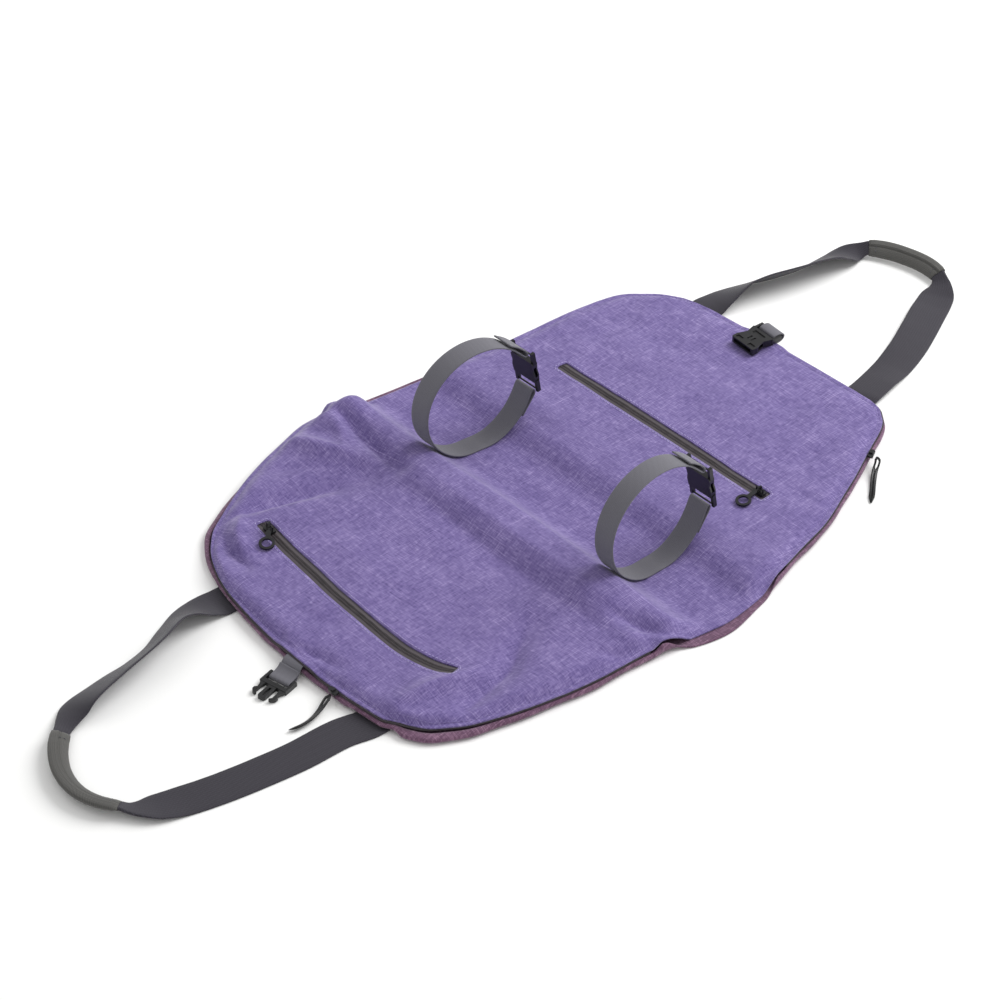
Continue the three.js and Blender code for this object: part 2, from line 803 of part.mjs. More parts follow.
// Long moulded pulls of the pouch zips, lying where they fell.
// Tilt turns the flat of the pull about its own line.
const edgePulls = {
  left: [
    { x: 64.2, y: -359.6, z: 9.4, tilt: 0 },
    { x: 65.8, y: -366.5, z: 7.6, tilt: 10 },
    { x: 69.5, y: -378, z: 4.4, tilt: 32 },
    { x: 72.6, y: -392, z: 3.2, tilt: 42 },
    { x: 72.4, y: -405, z: 3, tilt: 42 },
    { x: 69.6, y: -416, z: 3, tilt: 40 },
  ],
  right: [
    { x: 172.5, y: 286.8, z: 9.4, tilt: 0 },
    { x: 177.4, y: 282, z: 8.6, tilt: -6 },
    { x: 183, y: 272, z: 5.2, tilt: -14 },
    { x: 192, y: 260, z: 2.4, tilt: -6 },
    { x: 202, y: 248, z: 1.6, tilt: 0 },
    { x: 212, y: 235, z: 1.5, tilt: 0 },
  ],
};
const edgePull = { wide: 6.4, thick: 2.4, ease: 0.7, slotWide: 2.4, slotFrom: 2, slotTo: 8 };

// Frames along a lying strip: its width is level across the path, and tilt raises the side left of the path.
function framed(places) {
  const up = new THREE.Vector3(0, 0, 1);
  return places.map((place) => {
    const side = up.clone().cross(place.along).normalize();
    const rise = place.along.clone().cross(side).normalize();
    const angle = THREE.MathUtils.degToRad(place.tilt);
    const wideDir = side.clone().multiplyScalar(Math.cos(angle)).addScaledVector(rise, Math.sin(angle));
    return { ...place, wideDir, thickDir: place.along.clone().cross(wideDir).normalize() };
  });
}

function edgePullSolid(stations) {
  const places = framed(travel(stations, ["tilt"], 2));
  const whole = skin(places.map((p) => flatRing(p, edgePull.wide, edgePull.thick, edgePull.ease)));
  const inner = places
    .slice(edgePull.slotFrom, edgePull.slotTo)
    .map((p) => flatRing(p, edgePull.slotWide, edgePull.thick * 2));
  return whole.subtract(skin(inner));
}

// Handles and their grips.

// Stations of each handle, clockwise from above: tilt raises the outer edge.
// Wide and thick change where the webbing is folded.
const handleStations = {
  left: [
    { x: 113, y: -343, tilt: 0, wide: 40, thick: webbing },
    { x: 112, y: -356, tilt: 0, wide: 40, thick: webbing },
    { x: 105, y: -382, tilt: 0, wide: 40, thick: webbing },
    { x: 101, y: -430, tilt: 0, wide: 40, thick: webbing },
    { x: 94, y: -472, tilt: 0, wide: 40, thick: webbing },
    { x: 86, y: -510, tilt: 0, wide: 40, thick: webbing },
    { x: 77, y: -542, tilt: 0, wide: 40, thick: webbing },
    { x: 67, y: -570, tilt: 6, wide: 38, thick: webbing },
    { x: 57, y: -588, tilt: 15, wide: 28, thick: 2.8 },
    { x: 46, y: -599, tilt: 22, wide: 20, thick: 3.8 },
    { x: 27, y: -611, tilt: 25, wide: 20, thick: 3.8 },
    { x: 3, y: -616, tilt: 25, wide: 20, thick: 3.8 },
    { x: -24, y: -611, tilt: 25, wide: 20, thick: 3.8 },
    { x: -49, y: -597, tilt: 25, wide: 20, thick: 3.8 },
    { x: -68, y: -579, tilt: 18, wide: 20, thick: 3.8 },
    { x: -80, y: -562, tilt: -4, wide: 27, thick: 2.8 },
    { x: -87, y: -545, tilt: -22, wide: 37, thick: webbing },
    { x: -90, y: -523, tilt: -33, wide: 40, thick: webbing },
    { x: -93, y: -497, tilt: -38, wide: 40, thick: webbing },
    { x: -95, y: -470, tilt: -44, wide: 40, thick: webbing },
    { x: -101, y: -440, tilt: -46, wide: 40, thick: webbing },
    { x: -112, y: -412, tilt: -43, wide: 40, thick: webbing },
    { x: -119, y: -385, tilt: -26, wide: 40, thick: webbing },
    { x: -119, y: -362, tilt: -8, wide: 40, thick: webbing },
    { x: -117, y: -346, tilt: 0, wide: 40, thick: webbing },
    { x: -116, y: -335, tilt: 0, wide: 40, thick: webbing },
  ],
  right: [
    { x: -133, y: 334.5, tilt: 0, wide: 40, thick: webbing },
    { x: -133, y: 345, tilt: 0, wide: 40, thick: webbing },
    { x: -131, y: 366, tilt: -14, wide: 40, thick: webbing },
    { x: -125, y: 398, tilt: -38, wide: 40, thick: webbing },
    { x: -113, y: 430, tilt: -46, wide: 40, thick: webbing },
    { x: -103, y: 464, tilt: -44, wide: 40, thick: webbing },
    { x: -98, y: 500, tilt: -34, wide: 40, thick: webbing },
    { x: -95, y: 526, tilt: -10, wide: 36, thick: webbing },
    { x: -91, y: 540, tilt: 16, wide: 27, thick: 2.8 },
    { x: -83, y: 551, tilt: 33, wide: 20, thick: 3.8 },
    { x: -63, y: 563, tilt: 35, wide: 20, thick: 3.8 },
    { x: -40, y: 570, tilt: 35, wide: 20, thick: 3.8 },
    { x: -18, y: 573, tilt: 33, wide: 20, thick: 3.8 },
    { x: 2, y: 570, tilt: 28, wide: 20, thick: 3.8 },
    { x: 13, y: 562, tilt: 14, wide: 27, thick: 2.8 },
    { x: 23, y: 545, tilt: 2, wide: 38, thick: webbing },
    { x: 37, y: 514, tilt: -4, wide: 40, thick: webbing },
    { x: 50, y: 486, tilt: -5, wide: 40, thick: webbing },
    { x: 63, y: 455, tilt: -4, wide: 40, thick: webbing },
    { x: 74, y: 420, tilt: 0, wide: 40, thick: webbing },
    { x: 81, y: 388, tilt: 6, wide: 40, thick: webbing },
    { x: 85, y: 364, tilt: 5, wide: 40, thick: webbing },
    { x: 86, y: 350, tilt: 0, wide: 40, thick: webbing },
    { x: 86, y: 343.5, tilt: 0, wide: 40, thick: webbing },
  ],
};
const handleSteps = 2;
const handleSag = 0.6;
const offFloor = 0.05;
const gripSize = { wide: 24, thick: 8, ease: 2.4, hollowWide: 21, hollowThick: 4.9, hollowEase: 0.4 };
const gripSpans = { left: [9, 14], right: [9, 13] };

// Each place rests on its lower edge, and eases up to the thicker grip beside it.
function restOnFloor(places, [from, to]) {
  const support = places.map((p, i) => {
    const held = i >= from && i <= to;
    const wide = held ? gripSize.wide : p.wide;
    const thick = held ? gripSize.thick : p.thick;
    return (Math.abs(p.wideDir.z) * wide + Math.abs(p.thickDir.z) * thick) / 2 + offFloor;
  });
  const height = [...support];
  for (let pass = 0; pass < 6; pass += 1) {
    for (let i = 1; i + 1 < places.length; i += 1) {
      const beside = (height[i - 1] + height[i + 1]) / 2 - handleSag;
      height[i] = Math.max(support[i], beside);
    }
  }
  return places.map((p, i) => ({ ...p, centre: p.centre.clone().setZ(height[i]) }));
}

function handleParts(stations, span) {
  const held = span.map((row) => row * handleSteps);
  const flat = stations.map((s) => ({ ...s, z: 0 }));
  const places = restOnFloor(framed(travel(flat, ["tilt", "wide", "thick"], handleSteps)), held);
  const strip = skin(places.map((p) => flatRing(p, p.wide, p.thick)));
  const inGrip = places.slice(held[0], held[1] + 1);
  const sleeve = skin(
    inGrip.map((p) => flatRing(p, gripSize.wide, gripSize.thick, gripSize.ease)),
    inGrip.map((p) => flatRing(p, gripSize.hollowWide, gripSize.hollowThick, gripSize.hollowEase)),
  );
  return { strip, sleeve };
}

const handleLeft = handleParts(handleStations.left, gripSpans.left);
const handleRight = handleParts(handleStations.right, gripSpans.right);

// Straps that stand in a loop, and short tabs: strips that stay level along X while they bend.

function levelStrip(line, wide, thick, steps = 2) {
  const places = travel(line, ["turn"], steps);
  return skin(
    places.map((p) => {
      const turn = THREE.MathUtils.degToRad(p.turn);
      const wideDir = new THREE.Vector3(Math.cos(turn), Math.sin(turn), 0);
      const flatAlong = p.along.clone().addScaledVector(wideDir, -p.along.dot(wideDir)).normalize();
      return flatRing({ centre: p.centre, wideDir, thickDir: flatAlong.clone().cross(wideDir) }, wide, thick);
    }),
  );
}

const loopClear = 0.2;
const baseClear = 0.4;
const strap = { wide: 25, radius: loopRadius + strapThick / 2 + loopClear };
const strapLowest = baseLevel + cloth / 2 + baseClear + strapThick / 2;
const buckleTurn = 10;
const straps = { first: { x: -129, lean: 9 }, second: { x: 132, lean: 2 } };

// Stations of a standing strap, in degrees from +Y and radius, from the buckle's lower bar to its tail.
const strapTurns = [
  { angle: -38, radius: strap.radius + 2.9 },
  { angle: -24, radius: strap.radius + 3.6 },
  { angle: -14.5, radius: strap.radius + 5.9 },
  { angle: -11.6, radius: strap.radius + 4.9 },
  { angle: -10.8, radius: strap.radius + 3.4 },
  { angle: -11.6, radius: strap.radius + 1.9 },
  { angle: -14.5, radius: strap.radius + 0.9 },
  { angle: -24, radius: strap.radius + 0.2 },
  { angle: -38, radius: strap.radius },
  { angle: -54, radius: strap.radius },
  { angle: -68, radius: strap.radius },
  { angle: -79, radius: strap.radius },
  { angle: -90, radius: strap.radius },
  { angle: -101, radius: strap.radius },
  { angle: -112, radius: strap.radius },
  { angle: -126, radius: strap.radius },
  { angle: -145, radius: strap.radius },
  { angle: -165, radius: strap.radius },
  { angle: -185, radius: strap.radius },
  { angle: -205, radius: strap.radius },
  { angle: -225, radius: strap.radius },
  { angle: -245, radius: strap.radius },
  { angle: -265, radius: strap.radius },
  { angle: -285, radius: strap.radius },
  { angle: -303, radius: strap.radius },
  { angle: -316, radius: strap.radius },
  { angle: -325.5, radius: strap.radius + 0.9 },
  { angle: -328.4, radius: strap.radius + 1.9 },
  { angle: -329.2, radius: strap.radius + 3.4 },
  { angle: -328.4, radius: strap.radius + 4.9 },
  { angle: -325.5, radius: strap.radius + 5.9 },
  { angle: -314, radius: strap.radius + 4.6 },
  { angle: -303, radius: strap.radius + 3.6 },
];

function onLoop(angle, radius, { x, lean }) {
  const turn = THREE.MathUtils.degToRad(angle);
  const y = radius * Math.cos(turn);
  const z = Math.max(strapLowest, loopCentre + radius * Math.sin(turn));
  return { x: x + (lean * y) / loopRadius, y, z, turn: 0 };
}

const standingStrap = (place) =>
  levelStrip(
    strapTurns.map((s) => onLoop(s.angle, s.radius, place)),
    strap.wide,
    strapThick,
  );

// Two blocks alike, one to each side of the Y axis, from near to far of it.
function pairOfBlocks(near, far, y0, y1, z0, z1) {
  return [block(-far, -near, y0, y1, z0, z1), block(near, far, y0, y1, z0, z1)];
}

// A fastened buckle of a standing strap: two closed halves, with a bar at each end for the strap.
const fastened = {
  body: { low: 0.4, high: 7.2, corner: 1 },
  rail: { near: 13.2, far: 16.6, from: 11, to: 26.6, low: 2, high: 6.4 },
  bar: { half: 15, at: 24.4, high: 3.55, radius: 1 },
  window: { near: 10.6, far: 17, from: -6, to: 6.5, low: 2.4, high: 5.4 },
  seam: { half: 18, from: 8.4, to: 9.2, low: 6.3, high: 8 },
};

function strapBuckleSolid() {
  const { rail, bar: end, window: gapIn, seam: line } = fastened;
  const body = plate(
    [
      [-15.6, -13],
      [15.6, -13],
      [16.6, -4],
      [15.2, 3],
      [16.6, 12],
      [14.6, 14.5],
      [-14.6, 14.5],
      [-16.6, 12],
      [-15.2, 3],
      [-16.6, -4],
    ],
    fastened.body.low,
    fastened.body.high,
    fastened.body.corner,
  );
  const rails = [
    ...pairOfBlocks(rail.near, rail.far, -rail.to, -rail.from, rail.low, rail.high),
    ...pairOfBlocks(rail.near, rail.far, rail.from, rail.to, rail.low, rail.high),
  ];
  const bars = [-1, 1].map((k) =>
    rod([-end.half, k * end.at, end.high], [end.half, k * end.at, end.high], end.radius),
  );
  const windows = pairOfBlocks(gapIn.near, gapIn.far, gapIn.from, gapIn.to, gapIn.low, gapIn.high);
  const seam = block(-line.half, line.half, line.from, line.to, line.low, line.high);
  return cut(join([body, ...rails, ...bars]), [...windows, seam]);
}

// The buckle stands against the side of the strap's loop, its length going round it.
function setOnLoop(mesh, place) {
  const turn = THREE.MathUtils.degToRad(buckleTurn);
  const base = onLoop(buckleTurn, loopRadius + loopClear, place);
  const along = new THREE.Vector3(0, -Math.sin(turn), Math.cos(turn));
  const out = new THREE.Vector3(0, Math.cos(turn), Math.sin(turn));
  mesh.position.set(base.x, base.y, base.z);
  mesh.quaternion.setFromRotationMatrix(new THREE.Matrix4().makeBasis(along.clone().cross(out), along, out));
  return mesh;
}

// Closure at the wings' ends: a tab and half a buckle each.

const tabWide = 24;
const closure = {
  left: { x: tabs.left.x, y: -350, turn: 11, over: 18 },
  right: { x: tabs.right.x, y: 350, turn: -5, over: 0 },
};
const prongedAt = { reach: -26.5, z: 0 };
const mouthAt = { reach: -38.7, z: 14.9 };

// A place on a tab whose free end is swung round its root, by the whole turn from the distance over onwards.
function swung({ y, z }, { x, y: root, turn, over }) {
  const now = over ? turn * smooth(Math.abs(y - root) / over) : turn;
  const angle = THREE.MathUtils.degToRad(now);
  return { x: x - Math.sin(angle) * (y - root), y: root + Math.cos(angle) * (y - root), z, turn: now };
}

// A group that turns about a closure's root, with one piece in it at its own reach and height.
function swungGroup(mesh, { x, y, turn }, { reach, z }) {
  const group = new THREE.Group();
  group.position.set(x, y, 0);
  group.rotation.z = THREE.MathUtils.degToRad(turn);
  mesh.position.set(0, reach, z);
  return group.add(mesh);
}

const tabLeft = levelStrip(
  [
    { y: -345, z: 10.9 },
    { y: -352, z: 10.9 },
    { y: -355.6, z: 10.8 },
    { y: -359.6, z: 8.8 },
    { y: -364.4, z: 4.6 },
    { y: -368.6, z: 1.8 },
    { y: -373, z: 1 },
    { y: -378, z: 0.95 },
    { y: -379.5, z: 1.6 },
    { y: -380, z: 2.85 },
    { y: -379.5, z: 4.1 },
    { y: -378, z: 4.8 },
    { y: -372, z: 5.1 },
    { y: -366.5, z: 6.6 },
    { y: -362.6, z: 9 },
  ].map((s) => swung(s, closure.left)),
  tabWide,
  strapThick,
);

// The half with prongs, in its own place: bar across at the origin, prongs running along -Y.
const pronged = {
  frame: { near: 12.9, far: 16, front: -13, back: 4.5, low: 0.1, high: 5 },
  crossBar: { half: 14, deep: 1.5, low: 2, high: 3.7 },
  front: { half: 15, back: -8 },
  guide: { low: 0.6, high: 4.4 },
  slit: { half: 1.3, from: -28, to: -16, low: 0, high: 6 },
  arm: { low: 0.8, high: 4.2 },
};

function prongedBuckle() {
  const { frame, crossBar: rung, slit: cutOut } = pronged;
  const rails = pairOfBlocks(frame.near, frame.far, frame.front, frame.back, frame.low, frame.high);
  const crossBar = block(-rung.half, rung.half, -rung.deep, rung.deep, rung.low, rung.high);
  const { half, back } = pronged.front;
  const front = block(-half, half, frame.front, back, frame.low, frame.high);
  const guide = plate(
    [
      [-4.4, -30],
      [-2.8, -32],
      [2.8, -32],
      [4.4, -30],
      [4.4, -12],
      [-4.4, -12],
    ],
    pronged.guide.low,
    pronged.guide.high,
  );
  const slit = block(-cutOut.half, cutOut.half, cutOut.from, cutOut.to, cutOut.low, cutOut.high);
  const arm = [
    [8.4, -12],
    [15.4, -12],
    [13, -17],
    [12.2, -21],
    [14.6, -23],
    [14.4, -26],
    [11.6, -29.5],
    [8.4, -30],
    [7.6, -28.4],
    [9.8, -26],
    [9.6, -19],
  ];
  const { low, high } = pronged.arm;
  const arms = [-1, 1].map((k) => plate(arm.map(([x, y]) => [k * x, y]), low, high));
  return cut(join([...rails, crossBar, front, guide, ...arms]), [slit]);
}

// The half with the mouth, lying on the right wing, its mouth turned in along -Y and its bar at the far end.
const socket = {
  low: 1.7,
  high: 6.2,
  hollow: { half: 13.2, from: -1, to: 13 },
  deeper: { half: 9.6, from: 12, to: 21 },
  window: { near: 10.5, far: 18, from: 9, to: 18 },
  body: { low: 0, high: 7.8, corner: 0.8 },
  rail: { near: 12.9, far: 15.9, from: 28, to: 42, low: 1.4, high: 6.4 },
  crossBar: { half: 14, from: 36.6, to: 39.4, low: 3, high: 4.8 },
};

function mouthBuckle() {
  const { low, high, rail, crossBar: rung, window: gapIn } = socket;
  const body = plate(
    [
      [-16.4, 0],
      [16.4, 0],
      [16.6, 7],
      [14, 13.5],
      [12.6, 19],
      [14.6, 25],
      [15.8, 30],
      [-15.8, 30],
      [-14.6, 25],
      [-12.6, 19],
      [-14, 13.5],
      [-16.6, 7],
    ],
    socket.body.low,
    socket.body.high,
    socket.body.corner,
  );
  const [hollow, deeper] = [socket.hollow, socket.deeper].map(({ half, from, to }) =>
    block(-half, half, from, to, low, high),
  );
  const windows = pairOfBlocks(gapIn.near, gapIn.far, gapIn.from, gapIn.to, low, high);
  const rails = pairOfBlocks(rail.near, rail.far, rail.from, rail.to, rail.low, rail.high);
  const crossBar = block(-rung.half, rung.half, rung.from, rung.to, rung.low, rung.high);
  return cut(join([body, ...rails, crossBar]), [hollow, deeper, ...windows]);
}

const tabRight = levelStrip(
  [
    { y: 341, z: 10.9 },
    { y: 349, z: 10.9 },
    { y: 355, z: 11.3 },
    { y: 359.4, z: 13.6 },
    { y: 360.4, z: 17 },
    { y: 357.6, z: 20 },
    { y: 353.6, z: 21.2 },
    { y: 349.4, z: 21.2 },
    { y: 346.8, z: 20.3 },
    { y: 346, z: 18.8 },
    { y: 346.8, z: 17.3 },
    { y: 349.4, z: 16.4 },
    { y: 354.4, z: 16.2 },
  ].map((s) => swung(s, closure.right)),
  tabWide,
  strapThick,
);

// The bag.

// Sets a piece made at the origin in its place: droop turns it about its own Y axis, then turn about Z.
function seated(mesh, [x, y, z], turn, droop = 0) {
  mesh.position.set(x, y, z);
  mesh.rotation.set(0, THREE.MathUtils.degToRad(droop), THREE.MathUtils.degToRad(turn), "ZYX");
  return mesh;
}

const gloss = 0.4;
const satin = 0.6;

const bag = new THREE.Group();
bag.name = "yoga_mat_bag";
bag.add(
  meshOf(shell, "outer_shell", colours.shell),
  meshOf(lining, "lining", colours.lining),
  meshOf(pocketZipLeft, "pocket_zip_left", colours.tape),
  meshOf(pocketZipRight, "pocket_zip_right", colours.tape),
  meshOf(edgeZipLeft, "edge_zip_left", colours.tape),
  meshOf(edgeZipRight, "edge_zip_right", colours.tape),
  meshOf(handleLeft.strip, "handle_left", colours.webbing),
  meshOf(handleRight.strip, "handle_right", colours.webbing),
  meshOf(handleLeft.sleeve, "grip_left", colours.grip),
  meshOf(handleRight.sleeve, "grip_right", colours.grip),
  meshOf(standingStrap(straps.first), "mat_strap_1", colours.strap),
  meshOf(standingStrap(straps.second), "mat_strap_2", colours.strap),
  meshOf(tabLeft, "closure_tab_left", colours.webbing),
  meshOf(tabRight, "closure_tab_right", colours.webbing),
  setOnLoop(meshOf(strapBuckleSolid(), "strap_buckle_1", colours.plastic, gloss), straps.first),
  setOnLoop(meshOf(strapBuckleSolid(), "strap_buckle_2", colours.plastic, gloss), straps.second),
  swungGroup(meshOf(prongedBuckle(), "buckle_male", colours.plastic, gloss), closure.left, prongedAt),
  swungGroup(meshOf(mouthBuckle(), "buckle_female", colours.plastic, gloss), closure.right, mouthAt),
);

["left", "right"].forEach((side) => {
  const slider = sliders[side];
  const [x, y, z] = seatOf(slider);
  const body = meshOf(sliderSolid(slider), `pocket_slider_${side}`, colours.plastic, gloss);
  const ringPull = meshOf(pullSolid(slider), `pocket_pull_${side}`, colours.plastic, gloss);
  const edgeSlider = meshOf(edgeSliderSolid(), `edge_slider_${side}`, colours.plastic, gloss);
  const longPull = meshOf(edgePullSolid(edgePulls[side]), `edge_pull_${side}`, colours.plastic, satin);
  bag.add(
    seated(body, [x, y, z], slider.along),
    seated(ringPull, [x, y, z + barHeight(slider)], slider.pullTo, slider.droop),
    seated(edgeSlider, edgeSeat(edgeSliders[side]), edgeSliders[side].away),
    longPull,
  );
});

export default bag;
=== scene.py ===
import bisect
from math import copysign, cos, exp, hypot, pi, radians, sin, sqrt

import bmesh
import bpy
from mathutils import Matrix, Vector, noise


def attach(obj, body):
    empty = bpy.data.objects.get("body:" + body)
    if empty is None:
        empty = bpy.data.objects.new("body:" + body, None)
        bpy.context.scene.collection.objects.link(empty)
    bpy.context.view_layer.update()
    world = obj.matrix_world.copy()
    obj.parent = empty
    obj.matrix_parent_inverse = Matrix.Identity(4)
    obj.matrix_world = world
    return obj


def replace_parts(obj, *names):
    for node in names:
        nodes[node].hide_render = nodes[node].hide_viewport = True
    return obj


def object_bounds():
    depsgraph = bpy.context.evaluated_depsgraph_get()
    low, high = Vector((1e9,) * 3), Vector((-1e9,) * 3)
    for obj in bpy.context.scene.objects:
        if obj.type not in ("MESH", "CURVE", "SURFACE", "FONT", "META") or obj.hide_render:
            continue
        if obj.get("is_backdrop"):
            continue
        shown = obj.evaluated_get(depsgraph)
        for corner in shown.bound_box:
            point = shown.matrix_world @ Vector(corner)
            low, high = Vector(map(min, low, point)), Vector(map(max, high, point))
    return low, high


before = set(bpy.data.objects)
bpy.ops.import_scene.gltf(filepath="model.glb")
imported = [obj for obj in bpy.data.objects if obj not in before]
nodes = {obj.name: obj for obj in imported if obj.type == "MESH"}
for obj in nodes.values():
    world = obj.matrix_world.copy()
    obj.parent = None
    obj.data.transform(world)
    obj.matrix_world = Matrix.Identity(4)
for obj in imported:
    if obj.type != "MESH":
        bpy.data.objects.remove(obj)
cadLow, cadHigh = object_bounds()
scene = bpy.context.scene
scene.view_settings.view_transform = "Standard"
mm = 0.001
sides = ("left", "right")

# A soft bag, unzipped and laid open. Shapes are worked out in millimetres: +X along the flat base, +Y from
# the left wing to the right wing, +Z up from the floor. They turn into metres as each mesh is made.

cloth = 1.5  # thickness of the outer cloth and of the lining
gap = 0.3  # air between pieces that lie on one another
tape = 1.0
webbing = 1.9
floorLevel = cloth / 2  # middle of the shell's flat floor
baseLevel = cloth + gap + cloth / 2  # middle of the lining on it
edgeLevel = 10.8  # middle of the lining at a wing's edge

shot = {
    "azimuth": 47.21,
    "elevation": 39.53,
    "distance": 3.637,
    "aim": (0.012, 0.0, 0.0033),
    "aimRight": -0.0675,
    "aimUp": 0.0094,
    "lens": 129.6,
    "sensor": 36.0,
}
studio = {
    "floor": "#fcfcfb",
    "floorHalf": 12.0,
    "sky": "#ffffff",
    "skyStrength": 0.64,
    "key": {"from": (0.7, 3.1, 2.7), "size": 3.2, "watts": 160},
    "fill": {"from": (-2.6, -1.2, 2.8), "size": 3.0, "watts": 12},
}


# Small tools


def linear(hexColour):
    parts = [int(hexColour[i : i + 2], 16) / 255 for i in (1, 3, 5)]
    return [c / 12.92 if c <= 0.04045 else ((c + 0.055) / 1.055) ** 2.4 for c in parts] + [1.0]


def limited(value, low, high):
    return max(low, min(high, value))


def ease(t):
    c = limited(t, 0, 1)
    return c * c * (3 - 2 * c)


def mix(a, b, t):
    return a + (b - a) * t


def hump(distance, spread):
    return exp(-((distance / spread) ** 2))


def through(rows, value):
    # smooth curve through a table's rows: the first column is where, value numbers the column it gives
    at = [row[0] for row in rows]
    heights = [row[value] for row in rows]
    rises = [(heights[i + 1] - heights[i]) / (at[i + 1] - at[i]) for i in range(len(rows) - 1)]
    slopes = [rises[0]]
    for a, b in zip(rises, rises[1:]):
        slopes.append(0 if a * b <= 0 else 2 * a * b / (a + b))
    slopes.append(rises[-1])

    def height(place):
        if place <= at[0]:
            return heights[0]
        if place >= at[-1]:
            return heights[-1]
        i = bisect.bisect_right(at, place) - 1
        step = at[i + 1] - at[i]
        t = (place - at[i]) / step
        ends = heights[i] * (1 + 2 * t) * (1 - t) ** 2 + heights[i + 1] * t * t * (3 - 2 * t)
        return ends + step * (slopes[i] * t * (1 - t) ** 2 + slopes[i + 1] * t * t * (t - 1))

    return height


def splinePoint(points, t):
    # point of a centripetal Catmull-Rom line at t from 0 to 1
    last = len(points) - 1
    i = min(last - 1, int(t * last))
    share = t * last - i
    p1, p2 = points[i], points[i + 1]
    p0 = points[i - 1] if i else p1 * 2 - p2
    p3 = points[i + 2] if i + 2 <= last else p2 * 2 - p1
    d1 = sqrt((p2 - p1).length) or 1
    d0 = sqrt((p1 - p0).length) or d1
    d2 = sqrt((p3 - p2).length) or d1
    m1 = ((p1 - p0) / d0 - (p2 - p0) / (d0 + d1) + (p2 - p1) / d1) * d1
    m2 = ((p2 - p1) / d1 - (p3 - p1) / (d1 + d2) + (p3 - p2) / d2) * d1
    bend = (p2 - p1) * 3 - m1 * 2 - m2
    return p1 + m1 * share + bend * share**2 + ((p1 - p2) * 2 + m1 + m2) * share**3


def splineAlong(points, t):
    near = 1e-4
    return (splinePoint(points, min(1, t + near)) - splinePoint(points, max(0, t - near))).normalized()


def runLengths(line):
    lengths = [0.0]
    for a, b in zip(line, line[1:]):
        lengths.append(lengths[-1] + (b - a).length)
    return lengths


def placeOn(lengths, at):
    # the leg that a distance along a line falls on, and the share of it
    k = limited(bisect.bisect_right(lengths, at) - 1, 0, len(lengths) - 2)
    return k, (at - lengths[k]) / ((lengths[k + 1] - lengths[k]) or 1)


def resampled(points, spacing, closed=False):
    # points at even spacing along a line through the given ones
    line = points + points[:1] if closed else points
    lengths = runLengths(line)
    count = max(2, round(lengths[-1] / spacing))
    made = []
    for i in range(count if closed else count + 1):
        k, share = placeOn(lengths, lengths[-1] * i / count)
        made.append(line[k].lerp(line[k + 1], share))
    return made


def directionAt(line, i):
    return (line[min(i + 1, len(line) - 1)] - line[max(i - 1, 0)]).normalized()


def addObject(name, data):
    made = bpy.data.objects.new(name, data)
    scene.collection.objects.link(made)
    return made


def reworked(data, change):
    shape = bmesh.new()
    shape.from_mesh(data)
    change(shape)
    shape.to_mesh(data)
    shape.free()


def join(points, faces, made, madeFaces):
    start = len(points)
    points += made
    faces += [tuple(start + i for i in face) for face in madeFaces]


def addPiece(name, points, faces, material, threads=None):
    data = bpy.data.meshes.new(name)
    data.from_pydata([(p[0] * mm, p[1] * mm, p[2] * mm) for p in points], [], faces)
    if threads:  # across and along the weave, in millimetres
        weave = data.attributes.new("thread", "FLOAT_VECTOR", "POINT")
        for i, (across, along) in enumerate(threads):
            weave.data[i].vector = (across, along, 0)
    reworked(data, lambda shape: bmesh.ops.recalc_face_normals(shape, faces=shape.faces))
    data.shade_smooth()
    data.materials.append(material)
    piece = addObject(name, data)
    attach(piece, "bag")
    return piece


def addSharp(piece, degrees):
    # edges sharper than this stay crisp
    def sharpen(shape):
        for edge in shape.edges:
            edge.smooth = edge.calc_face_angle(0) < radians(degrees)

    reworked(piece.data, sharpen)


def applyModifiers(piece):
    seen = piece.evaluated_get(bpy.context.evaluated_depsgraph_get())
    made = bpy.data.meshes.new_from_object(seen)
    piece.modifiers.clear()
    piece.data = made


def skinned(rings, closedEnds=True):
    # faces round a row of rings that all have as many points
    wide = len(rings[0])
    points = [p for ring in rings for p in ring]
    faces = []
    for r in range(len(rings) - 1):
        for c in range(wide):
            d = (c + 1) % wide
            faces.append((r * wide + c, r * wide + d, (r + 1) * wide + d, (r + 1) * wide + c))
    if closedEnds:
        faces.append(tuple(range(wide - 1, -1, -1)))
        faces.append(tuple((len(rings) - 1) * wide + c for c in range(wide)))
    return points, faces


def layered(grid, low, high):
    # the solid between two offsets of a grid of points, along its own normals
    tall, wide = len(grid), len(grid[0])
    normals = []
    for r in range(tall):
        for c in range(wide):
            alongX = grid[r][min(c + 1, wide - 1)] - grid[r][max(c - 1, 0)]
            alongY = grid[min(r + 1, tall - 1)][c] - grid[max(r - 1, 0)][c]
            normals.append(alongX.cross(alongY).normalized())
    flat = [p for row in grid for p in row]
    points = [p + n * offset for offset in (high, low) for p, n in zip(flat, normals)]
    count = len(flat)
    faces = []
    for r in range(tall - 1):
        for c in range(wide - 1):
            a = r * wide + c
            faces.append((a, a + 1, a + wide + 1, a + wide))
            faces.append((a + count, a + wide + count, a + wide + 1 + count, a + 1 + count))
    rim = list(range(wide)) + [r * wide + wide - 1 for r in range(1, tall)]
    rim += [(tall - 1) * wide + c for c in range(wide - 2, -1, -1)]
    rim += [r * wide for r in range(tall - 2, 0, -1)]
    for i, a in enumerate(rim):
        b = rim[(i + 1) % len(rim)]
        faces.append((a, a + count, b + count, b))
    return points, faces


# Materials

waveLength = pi / 10  # length of one band of a Wave texture at scale 1


